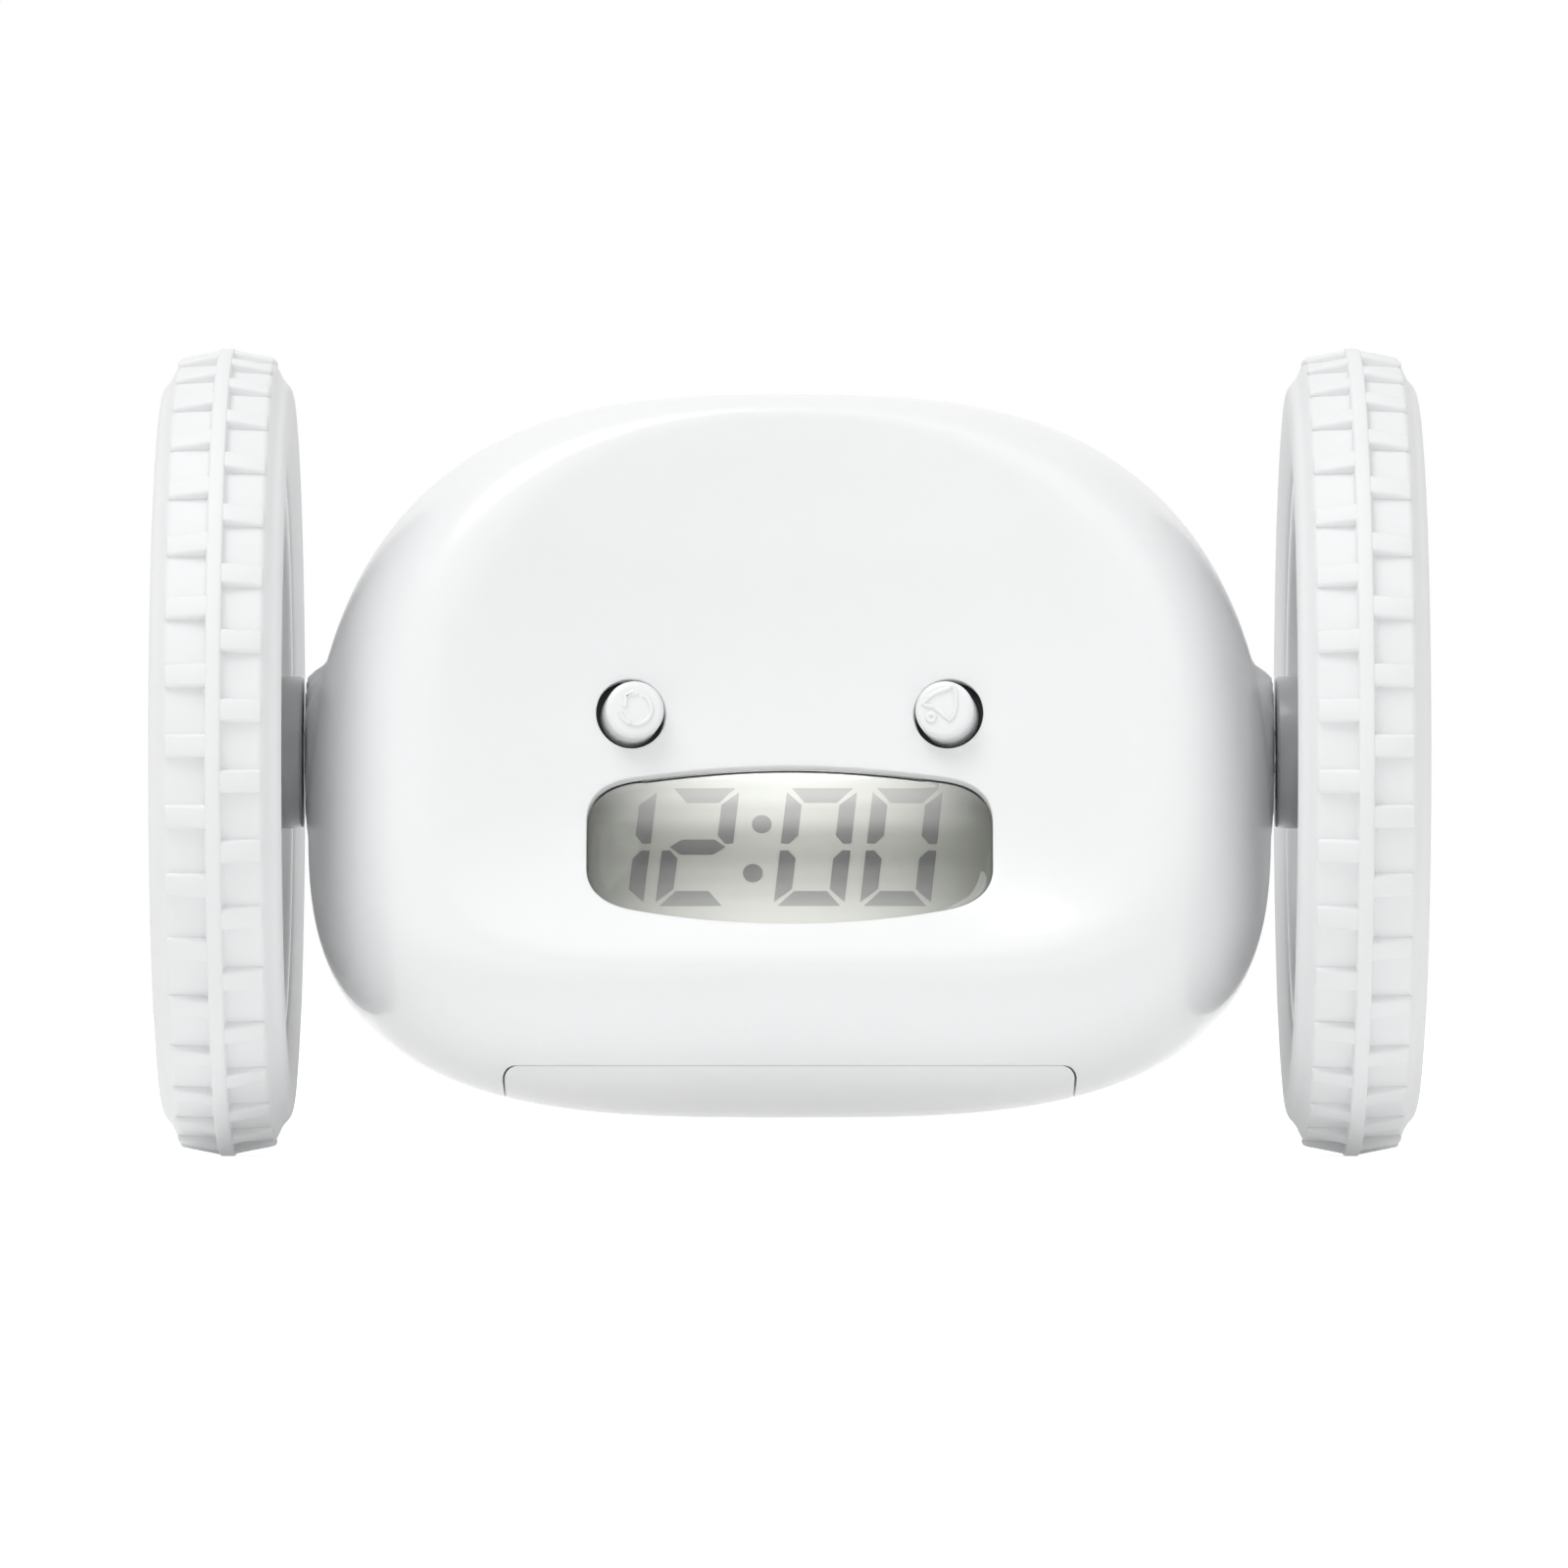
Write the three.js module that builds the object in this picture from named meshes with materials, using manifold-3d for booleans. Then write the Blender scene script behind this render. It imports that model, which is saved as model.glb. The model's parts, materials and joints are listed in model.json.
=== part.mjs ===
// A runaway alarm clock: a dished clock casing carried on an axle line between two large wheels.
// Millimetres. X runs along the axles, the face looks towards -Y, +Z is up.
// The origin is on the floor, below the middle of the axle line.

import * as THREE from 'three';
import { mergeGeometries, mergeVertices } from 'three/addons/utils/BufferGeometryUtils.js';
import Module from 'manifold-3d';

const wasm = await Module();
wasm.setup();

const fullTurn = 2 * Math.PI;
const quarterTurn = Math.PI / 2;
const degree = Math.PI / 180;

// General clearances and allowances
const restGap = 0.3;
const runGap = 0.3;
const overrun = 4;
const bite = 0.3;
const weldDistance = 0.0001;
const probeStep = 0.02;

// Overall size
const overallWidth = 135;
const wheelRadius = 43.5;
const wheelSteps = 72;

// Tyre: a crown rib between two staggered rows of lugs
const tyre = {
  width: 14.1, sectionHeight: 12.5, ribHalf: 1, treadDepth: 1.3, treadHalf: 5.5,
  shoulderDrop: 3.2, shoulderHalf: 5.9, cheekDrop: 6.7, beadHalf: 6.1,
  lugsPerRow: 36, lugLength: 2.4, lugDrop: 0.12, lugFall: 0.9, lugHalf: 5.55, staggerShare: 0.5,
};

// Rim, hub cap, drive collar and axle
const rim = {
  steps: 28, seatHalf: 5.9, barrelThick: 2.1, webInner: 0.2, webThick: 2,
  hubRadius: 7.2, hubInner: 2.2, hubOuter: 3,
};
const axle = { radius: 2, steps: 16, tail: 1, tipGap: 0.2, threadRadius: 1.3, threadDepth: 9 };
const collar = { radius: 8.2, steps: 24 };
const wheelScrew = { headRadius: 3, headHeight: 1.4, slack: 0.2, steps: 8 };
const hubCap = { wall: 1.2, skirt: 3, rise: 1.2, shoulderDrop: 0.3, crownShare: 0.55, steps: 20 };

// Casing: outline seen from the front, about the axle line
const casing = { wheelGap: 1.6, rise: 45.2, drop: 32.4, middle: -7, rearDepth: 36, wall: 2, seam: 0.2 };
const casingTopPowers = [3, 2.2];
const casingBottomPowers = [3.2, 2.9];
const rearPower = 2.5;
const outside = {
  steps: 36, flankShares: [0.35, 0.65, 0.86],
  bowlShares: [0.93, 0.72, 0.4], rearShares: [0.3, 0.6, 0.83, 0.96],
};
const inside = {
  steps: 28, flankShares: [0.45, 0.8],
  bowlShares: [0.88, 0.6, 0.3], rearShares: [0.2, 0.42, 0.7, 0.92],
};
const searchSteps = 40;

// Dished face inside its soft ridge
const face = {
  sideBand: 13.3, rise: 35.4, drop: 22.7, reach: 31.9,
  bowlDepth: 6, bowlMiddle: 4, ridgeRadius: 4,
};
const faceTilt = 11 * degree;
const faceTopPowers = [2.2, 2.2];
const faceBottomPowers = [4.5, 4.5];
const flankHandleShares = { top: 0.85, side: 0.7, bottom: 0.5 };
const ridgeHandleShares = { top: 0.75, side: 0.68, bottom: 0.3 };

// Window in the face, with its lens
const windowPlace = -9.6;
const windowSize = { width: 43.5, height: 16.5, bulge: 1.5, corner: 7 };
const lens = { recess: 0.8, thick: 1.2, fitGap: 0.1 };
const windowArcSteps = 5;

// Round buttons in the face
const button = {
  place: 16.8, height: 4.6, capRadius: 3.3, holeRadius: 3.65,
  proud: 2.6, edge: 0.7, travel: 1,
};
const buttonInside = { flangeRadius: 4.9, flangeThick: 1, flangeGap: 0.5, stemRadius: 1.6, stemLength: 1.6 };
const buttonSteps = 16;

// Switches and boards
const tactSwitch = { width: 6, bodyDepth: 3, plungerRadius: 1.75, plungerDepth: 0.7, steps: 12 };
const board = { thick: 1.6, halfWidth: 25, bottom: 3.4, top: 27, postRadius: 2.1, postPlace: 22.6 };
const postHeights = [12, 23.4];
const postSteps = 8;

// Display panel in its frame
const display = { width: 47, height: 18, thick: 2.6, frameWall: 1.3, frameBack: 1.4, lip: 0.2, clear: 1 };

// Axle bosses and bushes at the casing's sides
const neck = { radius: 8.4, length: 8, wheelGap: 1.4, steps: 24 };
const bush = { radius: 5, tail: 0.6, faceSink: 0.3, steps: 16 };

// Gear train: motor pinion, double gear and output gear, all of one module
const gears = { module: 0.75, smallTeeth: 8, largeTeeth: 24, backlash: 0.2, boreSteps: 8 };
const pressureAngle = 22 * degree;
const addendumShare = 0.8;
const dedendumShare = 1.2;
const idlerAngle = 25 * degree;
const motorAngle = 90 * degree;
const gearbox = { neckGap: 7, base: 1.6, wall: 1.2, length: 10, clear: 0.8, motorEnd: 4.8, arcSteps: 5 };
const gearWidth = { large: 2.4, small: 3, side: 0.6 };
const idlerPinRadius = 1;
const motor = { radius: 6, flatHalf: 5, length: 15, shaftRadius: 0.75, shaftDepth: 3, steps: 16 };

// Battery pack and the door below it
const cell = { radius: 5.25, length: 44.5, nubRadius: 1.9, nubLength: 1.2, count: 4, pitch: 11, steps: 12 };
const pack = { middle: -1, bottom: -32.5, wall: 1.2, foot: -32.4 };
const contact = { thick: 0.5, height: 8, springRadius: 2.8, tipRadius: 1.6, springLength: 1.6 };
const door = { sideBand: 21.2, frontTop: -33.6, rear: 18, gap: 0.3, corner: 1.5, cornerSteps: 12 };
const tongue = { proud: 0.8, thick: 0.6, top: -34.9, front: 2, rear: 12, clear: 0.3, travel: 12 };

// Buzzer under the top of the casing
const buzzer = { radius: 9, thick: 4.4, bottom: 29.6, place: -11.2, steps: 16 };
const buzzerCollar = { wall: 1.4, foot: 31 };

// Casing screws, driven from behind
const screw = {
  headRadius: 2.5, headHeight: 1.8, shankRadius: 1.2, length: 17,
  seat: 8, clear: 0.3, steps: 8,
};
const screwBoss = { radius: 4.2, holeRadius: 3, postRadius: 3.3, steps: 12 };
const upperScrews = { place: 16, height: 29 };
const lowerScrews = { sideBand: 14.8, height: -19 };

// Keys and run switch at the back
const rearKey = { pitch: 12, height: 6, capRadius: 3.3, holeRadius: 3.7, proud: 1.3, travel: 0.6 };
const rearKeyInside = { flangeRadius: 4.5, flangeThick: 1, flangeGap: 0.5, stemRadius: 1.5, stemLength: 1 };
const keyNames = ['time_key', 'alarm_key', 'hour_key', 'minute_key'];
const rearBoard = { thick: 1.6, halfWidth: 24, bottom: -16, top: 13 };
const runSwitch = {
  height: -9, slotWidth: 9, slotHeight: 3.6, travel: 4,
  knobWidth: 4, knobHeight: 2.8, proud: 1.4,
};
const runSwitchInside = {
  plateWidth: 13, plateHeight: 7, plateThick: 1, gap: 0.4,
  bodyWidth: 9.5, bodyHeight: 4.6,
};

// Cradle ribs that hold each gearbox between the two halves of the casing
const cradle = { width: 9, rearBottom: 1, rearTop: 9, frontHalf: 4 };

// Places worked out from the sizes above
const axleHeight = wheelRadius * Math.cos(Math.PI / wheelSteps);
const wheelCentre = (overallWidth - tyre.width) / 2;
const wheelInner = overallWidth / 2 - tyre.width;
const rimSeatRadius = wheelRadius - tyre.sectionHeight;
const casingHalfWidth = wheelInner - casing.wheelGap;
const faceHalfWidth = casingHalfWidth - face.sideBand;
const doorHalfWidth = casingHalfWidth - door.sideBand;
const neckFace = wheelInner - neck.wheelGap;
const neckInner = neckFace - neck.length;
const gearboxOuter = neckInner - gearbox.neckGap;
const gearboxInner = gearboxOuter - gearbox.length;
const gearCentres = gears.module * (gears.smallTeeth + gears.largeTeeth) / 2;
const idlerPlace = [gearCentres * Math.cos(idlerAngle), gearCentres * Math.sin(idlerAngle)];
const motorPlace = [
  idlerPlace[0] + gearCentres * Math.cos(motorAngle),
  idlerPlace[1] + gearCentres * Math.sin(motorAngle),
];
const gearReach = gears.module * (gears.largeTeeth / 2 + addendumShare);
const gearboxReach = gearReach + gearbox.clear + gearbox.wall;

// Solids

function toSolid(geometry) {
  geometry.deleteAttribute('normal');
  geometry.deleteAttribute('uv');
  const merged = mergeVertices(geometry, weldDistance);
  const corners = merged.index.array;
  const kept = [];
  for (let i = 0; i < corners.length; i += 3) {
    const [a, b, c] = corners.slice(i, i + 3);
    if (a !== b && b !== c && c !== a) kept.push(a, b, c);
  }
  const vertProperties = Float32Array.from(merged.attributes.position.array);
  const triVerts = Uint32Array.from(kept);
  return new wasm.Manifold(new wasm.Mesh({ numProp: 3, vertProperties, triVerts }));
}

function toGeometry(solid) {
  const mesh = solid.getMesh();
  const geometry = new THREE.BufferGeometry();
  geometry.setAttribute('position', new THREE.BufferAttribute(mesh.vertProperties, 3));
  geometry.setIndex(new THREE.BufferAttribute(mesh.triVerts, 1));
  geometry.computeVertexNormals();
  return geometry;
}

function joined(solids) {
  return solids.reduce((whole, solid) => whole.add(solid));
}

// A block between two corners
function blockGeometry(low, high) {
  const size = high.map((value, i) => value - low[i]);
  const middle = high.map((value, i) => (value + low[i]) / 2);
  return new THREE.BoxGeometry(...size).translate(...middle);
}

function block(low, high) {
  return toSolid(blockGeometry(low, high));
}

// A profile of [radius, place along the axis] turned about the named axis, with flats on the other two axes
function turned(axis, profile, steps) {
  const points = profile.map(([radius, place]) => new THREE.Vector2(radius, place));
  if (THREE.ShapeUtils.area(points) < 0) points.reverse();
  const closed = points[0].x > 0 || points[points.length - 1].x > 0;
  if (closed) points.push(points[0].clone());
  const geometry = new THREE.LatheGeometry(points, steps, Math.PI / steps);
  if (axis === 'x') geometry.rotateZ(-quarterTurn);
  if (axis === 'z') geometry.rotateX(quarterTurn);
  return geometry;
}

function turnedSolid(axis, profile, steps) {
  return toSolid(turned(axis, profile, steps));
}

function rod(axis, radius, from, to, steps, across = [0, 0, 0]) {
  const profile = [[0, from], [radius, from], [radius, to], [0, to]];
  return toSolid(turned(axis, profile, steps).translate(...across));
}

function tube(axis, outer, inner, from, to, steps) {
  return turnedSolid(axis, [[inner, from], [outer, from], [outer, to], [inner, to]], steps);
}

// A shape drawn in Y and Z, as thick as from one place on X to another
function plateAlongX(shape, from, to, curveSegments) {
  const geometry = new THREE.ExtrudeGeometry(shape, { depth: to - from, bevelEnabled: false, curveSegments });
  const turn = new THREE.Matrix4().makeBasis(
    new THREE.Vector3(0, 1, 0), new THREE.Vector3(0, 0, 1), new THREE.Vector3(1, 0, 0));
  return geometry.applyMatrix4(turn).translate(from, 0, 0);
}

// A shape drawn in X and Z, as thick as from one place on Y to another
function plateAlongY(shape, from, to, curveSegments) {
  const geometry = new THREE.ExtrudeGeometry(shape, { depth: to - from, bevelEnabled: false, curveSegments });
  return geometry.rotateX(quarterTurn).translate(0, to, 0);
}

// The span of places on one side of the clock: 1 is the right side, -1 the left
function onSide(side, from, to) {
  return side > 0 ? [from, to] : [-to, -from];
}

// Casing surface

function loopRadius(direction, loop) {
  let low = 0;
  let high = loop.halfWidth + loop.rise + loop.drop;
  for (let i = 0; i < searchSteps; i += 1) {
    const middle = (low + high) / 2;
    const x = middle * Math.cos(direction) / loop.halfWidth;
    const z = face.bowlMiddle + middle * Math.sin(direction) - loop.middle;
    const powers = z > 0 ? loop.topPowers : loop.bottomPowers;
    const height = z > 0 ? loop.rise : loop.drop;
    const inside = Math.abs(x) ** powers[0] + Math.abs(z / height) ** powers[1] < 1;
    if (inside) low = middle;
    else high = middle;
  }
  return low;
}

function casingLoop(inset) {
  return {
    halfWidth: casingHalfWidth - inset, rise: casing.rise - inset, drop: casing.drop - inset,
    middle: casing.middle, topPowers: casingTopPowers, bottomPowers: casingBottomPowers,
  };
}

const ridgeLoop = {
  halfWidth: faceHalfWidth, rise: face.rise, drop: face.drop,
  middle: 0, topPowers: faceTopPowers, bottomPowers: faceBottomPowers,
};

// A share that eases between its values at the top, the sides and the bottom
function easedShare(direction, shares) {
  const upright = Math.sin(direction) ** 2;
  const end = Math.sin(direction) > 0 ? shares.top : shares.bottom;
  return shares.side * (1 - upright) + end * upright;
}

// Depth of the bowl below the ridge's plane, at a share of the way from its middle to the ridge
function bowlDepth(share, radius) {
  const softness = 4 * face.bowlDepth * face.ridgeRadius / radius;
  const run = radius * (1 - share ** 4) / 4;
  const rounding = run / (run + softness) * (1 + 4 * softness / radius);
  return face.bowlDepth * (1 - share ** 2) * rounding;
}

function outFromMiddle(direction, radius) {
  return [radius * Math.cos(direction), face.bowlMiddle + radius * Math.sin(direction)];
}

// A point under the ridge's tilted plane, straight behind a place seen from the front
function underFace(x, z, depth) {
  const y = z * Math.tan(faceTilt) - face.reach;
  return new THREE.Vector3(x, y + depth * Math.cos(faceTilt), z - depth * Math.sin(faceTilt));
}

function bowlPoint(direction, share, inset) {
  const radius = loopRadius(direction, ridgeLoop);
  const [x, z] = outFromMiddle(direction, radius * share);
  return underFace(x, z, bowlDepth(share, radius) + inset);
}

function flankPoint(direction, share, inset) {
  const [x, z] = outFromMiddle(direction, loopRadius(direction, casingLoop(inset)));
  const start = new THREE.Vector3(x, 0, z);
  const crest = bowlPoint(direction, 1, inset);
  const outward = new THREE.Vector3(x - crest.x, 0, z - crest.z);
  outward.y = outward.z * Math.tan(faceTilt);
  const first = start.clone();
  first.y = crest.y * easedShare(direction, flankHandleShares);
  const second = crest.clone().addScaledVector(outward, easedShare(direction, ridgeHandleShares));
  return new THREE.CubicBezierCurve3(start, first, second, crest).getPoint(share);
}

function rearPoint(direction, share, inset) {
  const [x, z] = outFromMiddle(direction, share * loopRadius(direction, casingLoop(inset)));
  const y = (casing.rearDepth - inset) * (1 - share ** rearPower) ** (1 / rearPower);
  return new THREE.Vector3(x, y, z);
}

// The closed casing form, set in by a wall or part of one, as rings from the back round to the bowl
function casingForm(inset, grid = inside) {
  const rings = [];
  const addRing = (pointAt) => {
    const ring = [];
    for (let i = 0; i < grid.steps; i += 1) ring.push(pointAt(fullTurn * i / grid.steps));
    rings.push(ring);
  };
  for (const share of grid.rearShares) addRing((direction) => rearPoint(direction, share, inset));
  addRing((direction) => flankPoint(direction, 0, inset));
  for (const share of grid.flankShares) addRing((direction) => flankPoint(direction, share, inset));
  addRing((direction) => bowlPoint(direction, 1, inset));
  for (const share of grid.bowlShares) addRing((direction) => bowlPoint(direction, share, inset));
  return loft(rings, rearPoint(0, 0, inset), bowlPoint(0, 0, inset));
}

// Rings of points joined in order and closed on one point at each end
function loft(rings, first, last) {
  const points = [first, ...rings.flat(), last];
  const count = rings[0].length;
  const corners = [];
  const at = (ring, i) => 1 + ring * count + i % count;
  for (let i = 0; i < count; i += 1) {
    corners.push(0, at(0, i + 1), at(0, i));
    for (let ring = 0; ring + 1 < rings.length; ring += 1) {
      corners.push(at(ring, i), at(ring, i + 1), at(ring + 1, i));
      corners.push(at(ring, i + 1), at(ring + 1, i + 1), at(ring + 1, i));
    }
    corners.push(at(rings.length - 1, i), at(rings.length - 1, i + 1), points.length - 1);
  }
  const geometry = new THREE.BufferGeometry().setFromPoints(points);
  geometry.setIndex(corners);
  return toSolid(geometry);
}

// Depth of the bowl at a place seen from the front
function faceDepth(x, z) {
  const direction = Math.atan2(z - face.bowlMiddle, x);
  const radius = loopRadius(direction, ridgeLoop);
  return bowlDepth(Math.hypot(x, z - face.bowlMiddle) / radius, radius);
}

function facePoint(x, z, inset = 0) {
  return underFace(x, z, faceDepth(x, z) + inset);
}

function faceNormal(x, z) {
  const across = facePoint(x + probeStep, z).sub(facePoint(x - probeStep, z));
  const up = facePoint(x, z + probeStep).sub(facePoint(x, z - probeStep));
  return across.cross(up).normalize();
}

const outerForm = casingForm(0, outside);
const wallMiddleForm = casingForm(casing.wall / 2);
const cavityForm = casingForm(casing.wall);
const lensFront = casingForm(lens.recess);
const lensBack = casingForm(lens.recess + lens.thick);
const farEdge = overallWidth;

// Seats turned to the face: the ridge's plane, the window and the buttons

const facePlane = new THREE.Group();
facePlane.position.set(0, -face.reach, 0);
facePlane.rotation.x = -faceTilt;
facePlane.updateMatrix();

const windowTop = facePoint(0, windowPlace + windowSize.height / 2);
const windowBottom = facePoint(0, windowPlace - windowSize.height / 2);
const displayTilt = Math.atan2(windowTop.y - windowBottom.y, windowTop.z - windowBottom.z);
const displaySeat = new THREE.Group();
displaySeat.position.copy(windowTop).add(windowBottom).divideScalar(2);
displaySeat.rotation.x = -displayTilt;
displaySeat.updateMatrix();

function buttonSeat(side) {
  const seat = new THREE.Group();
  const x = side * button.place;
  seat.position.copy(facePoint(x, button.height));
  seat.quaternion.setFromUnitVectors(new THREE.Vector3(0, -1, 0), faceNormal(x, button.height));
  seat.updateMatrix();
  return seat;
}

const buttonSeats = { left: buttonSeat(-1), right: buttonSeat(1) };

// Window outline: a barrel shape with round corners, drawn about its middle

function windowShape(grow) {
  const halfWidth = windowSize.width / 2 + grow;
  const stretch = 1 / Math.cos(displayTilt);
  const middle = (windowSize.height / 2 + grow) * stretch;
  const end = middle - windowSize.bulge * stretch;
  const corner = windowSize.corner;
  const shape = new THREE.Shape();
  shape.moveTo(-halfWidth, corner - end);
  shape.quadraticCurveTo(-halfWidth, -end, corner - halfWidth, -end);
  shape.quadraticCurveTo(0, end - 2 * middle, halfWidth - corner, -end);
  shape.quadraticCurveTo(halfWidth, -end, halfWidth, corner - end);
  shape.lineTo(halfWidth, end - corner);
  shape.quadraticCurveTo(halfWidth, end, halfWidth - corner, end);
  shape.quadraticCurveTo(0, 2 * middle - end, corner - halfWidth, end);
  shape.quadraticCurveTo(-halfWidth, end, -halfWidth, end - corner);
  return shape;
}

function windowPrism(grow) {
  const prism = plateAlongY(windowShape(grow), -overrun, overrun + casing.wall, windowArcSteps);
  return toSolid(prism.applyMatrix4(displaySeat.matrix));
}

// Axle line supports in the casing

function neckSolid(side) {
  return rod('x', neck.radius, ...onSide(side, neckInner, neckFace), neck.steps);
}

function neckBore(side) {
  const span = onSide(side, neckInner - overrun, neckFace + overrun);
  return rod('x', bush.radius + restGap, ...span, bush.steps);
}

// Battery door outline and its grooves

function doorBlock(halfWidth, top, rear) {
  const upper = block([-halfWidth, -farEdge, -farEdge], [halfWidth, rear, top - door.corner]);
  const inner = halfWidth - door.corner;
  const roof = block([-inner, -farEdge, -farEdge], [inner, rear, top]);
  const corners = [-inner, inner].map(
    (x) => rod('y', door.corner, -farEdge, rear, door.cornerSteps, [x, 0, top - door.corner]));
  return joined([upper, roof, ...corners]);
}

function tongueBlock(side, grow, travel) {
  const [from, to] = onSide(side, doorHalfWidth - door.gap, doorHalfWidth + tongue.proud + grow);
  const low = [from, tongue.front - travel - grow, tongue.top - tongue.thick - grow];
  const high = [to, tongue.rear + grow, tongue.top + grow];
  return block(low, high);
}

// Screw seats

function screwAxes() {
  const upper = [-upperScrews.place, upperScrews.place].map((x) => [x, upperScrews.height]);
  const lowerPlace = casingHalfWidth - lowerScrews.sideBand;
  return [...upper, [-lowerPlace, lowerScrews.height], [lowerPlace, lowerScrews.height]];
}

// Front half of the casing

function frontShell() {
  const hollow = outerForm.subtract(cavityForm);
  const added = [neckSolid(-1), neckSolid(1)];
  for (const [x, z] of screwAxes()) {
    const post = rod('y', screwBoss.postRadius, -farEdge, 0, screwBoss.steps, [x, 0, z]);
    added.push(post.intersect(wallMiddleForm));
  }
  for (const side of [-1, 1]) {
    const [from, to] = onSide(side, gearboxOuter - cradle.width - restGap, gearboxOuter - restGap);
    const rib = block([from, -farEdge, -cradle.frontHalf], [to, -gearboxReach - restGap, cradle.frontHalf]);
    added.push(rib.intersect(wallMiddleForm));
    for (const height of postHeights) added.push(boardPost(side * board.postPlace, height));
  }
  const bore = buzzer.radius + restGap;
  const rimRadius = bore + buzzerCollar.wall;
  const collarTube = toSolid(turned('z', [
    [bore, buzzerCollar.foot], [rimRadius, buzzerCollar.foot], [rimRadius, farEdge], [bore, farEdge],
  ], buzzer.steps).translate(0, buzzer.place, 0));
  added.push(collarTube.intersect(wallMiddleForm));
  let shell = joined([hollow, ...added]);
  shell = shell.subtract(block([-farEdge, -casing.seam / 2, -farEdge], [farEdge, farEdge, farEdge]));
  const removed = [neckBore(-1), neckBore(1), windowPrism(0)];
  removed.push(doorBlock(doorHalfWidth, door.frontTop, door.rear));
  for (const seat of Object.values(buttonSeats)) {
    const hole = turned('y', [
      [0, -overrun], [button.holeRadius, -overrun], [button.holeRadius, overrun], [0, overrun],
    ], buttonSteps);
    removed.push(toSolid(hole.applyMatrix4(seat.matrix)));
  }
  for (const [x, z] of screwAxes()) {
    const pilot = screw.seat - screw.length - screw.clear;
    removed.push(rod('y', screw.shankRadius + screw.clear, pilot, overrun, screw.steps, [x, 0, z]));
  }
  for (const side of [-1, 1]) removed.push(tongueBlock(side, tongue.clear, tongue.travel));
  return removed.reduce((whole, solid) => whole.subtract(solid), shell);
}

// A post from the inside of the bowl to the front of the main board
function boardPost(x, height) {
  const from = faceDepth(x, height) + casing.wall / 2;
  const post = turned('y', [
    [0, from], [board.postRadius, from], [board.postRadius, boardDepth - restGap], [0, boardDepth - restGap],
  ], postSteps);
  return toSolid(post.translate(x, 0, height / Math.cos(faceTilt)).applyMatrix4(facePlane.matrix));
}

// Rear half of the casing

function rearShell() {
  const hollow = outerForm.subtract(cavityForm);
  const added = [neckSolid(-1), neckSolid(1)];
  for (const [x, z] of screwAxes()) {
    const boss = rod('y', screwBoss.radius, 0, farEdge, screwBoss.steps, [x, 0, z]);
    added.push(boss.intersect(wallMiddleForm));
  }
  for (const side of [-1, 1]) {
    const [from, to] = onSide(side, gearboxOuter - cradle.width - restGap, gearboxOuter - restGap);
    const start = idlerPlace[0] + gearboxReach + restGap;
    const rib = block([from, start, cradle.rearBottom], [to, farEdge, cradle.rearTop]);
    added.push(rib.intersect(wallMiddleForm));
  }
  let shell = joined([hollow, ...added]);
  shell = shell.subtract(block([-farEdge, -farEdge, -farEdge], [farEdge, casing.seam / 2, farEdge]));
  const removed = [neckBore(-1), neckBore(1)];
  removed.push(doorBlock(doorHalfWidth, door.frontTop, door.rear));
  for (const [x, z] of screwAxes()) {
    removed.push(rod('y', screw.shankRadius + screw.clear, -overrun, farEdge, screw.steps, [x, 0, z]));
    removed.push(rod('y', screwBoss.holeRadius, screw.seat, farEdge, screw.steps, [x, 0, z]));
  }
  for (const x of keyColumns()) {
    const hole = rod('y', rearKey.holeRadius, keyBoardTop, farEdge, buttonSteps, [x, 0, rearKey.height]);
    removed.push(hole);
  }
  const halfSlot = runSwitch.slotWidth / 2;
  const halfHeight = runSwitch.slotHeight / 2;
  const slotLow = [-halfSlot, keyBoardTop, runSwitch.height - halfHeight];
  const slotHigh = [halfSlot, farEdge, runSwitch.height + halfHeight];
  removed.push(block(slotLow, slotHigh));
  for (const side of [-1, 1]) removed.push(tongueBlock(side, tongue.clear, tongue.travel));
  return removed.reduce((whole, solid) => whole.subtract(solid), shell);
}

// Battery door: the casing's wall inside the door's outline, with a sliding tongue on each side

function batteryDoor() {
  const wallBand = outerForm.subtract(cavityForm);
  const outline = doorBlock(doorHalfWidth - door.gap, door.frontTop - door.gap, door.rear - door.gap);
  const panel = wallBand.intersect(outline);
  const tongues = [-1, 1].map((side) => {
    const whole = tongueBlock(side, 0, 0);
    const root = onSide(side, doorHalfWidth - door.gap - tongue.proud, doorHalfWidth);
    const low = [root[0], tongue.front, tongue.top - tongue.thick];
    return whole.add(block(low, [root[1], tongue.rear, tongue.top]));
  });
  return joined([panel, ...tongues]);
}

// Window lens and display

function windowLens() {
  return lensFront.subtract(lensBack).intersect(windowPrism(-lens.fitGap));
}

const displaySink = casing.wall + display.clear;

function displayPanel() {
  return blockGeometry(
    [-display.width / 2, displaySink, -display.height / 2],
    [display.width / 2, displaySink + display.thick, display.height / 2]);
}

function displayFrame() {
  const halfWidth = display.width / 2 + restGap;
  const halfHeight = display.height / 2 + restGap;
  const back = displaySink + display.thick + restGap;
  const pocket = block([-halfWidth, -overrun, -halfHeight], [halfWidth, back, halfHeight]);
  const outerWidth = halfWidth + display.frameWall;
  const outerHeight = halfHeight + display.frameWall;
  const outer = block(
    [-outerWidth, displaySink - display.lip, -outerHeight],
    [outerWidth, back + display.frameBack, outerHeight]);
  const placed = toSolid(toGeometry(outer.subtract(pocket)).applyMatrix4(displaySeat.matrix));
  return placed.intersect(casingForm(casing.wall + restGap));
}

// Face buttons and the board behind them

const buttonDepth = faceDepth(button.place, button.height);
const flangeBottom = casing.wall + buttonInside.flangeGap + buttonInside.flangeThick;
const stemEnd = flangeBottom + buttonInside.stemLength;
const plungerTop = buttonDepth + stemEnd + button.travel + runGap;
const boardDepth = plungerTop + tactSwitch.plungerDepth + tactSwitch.bodyDepth;

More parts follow.
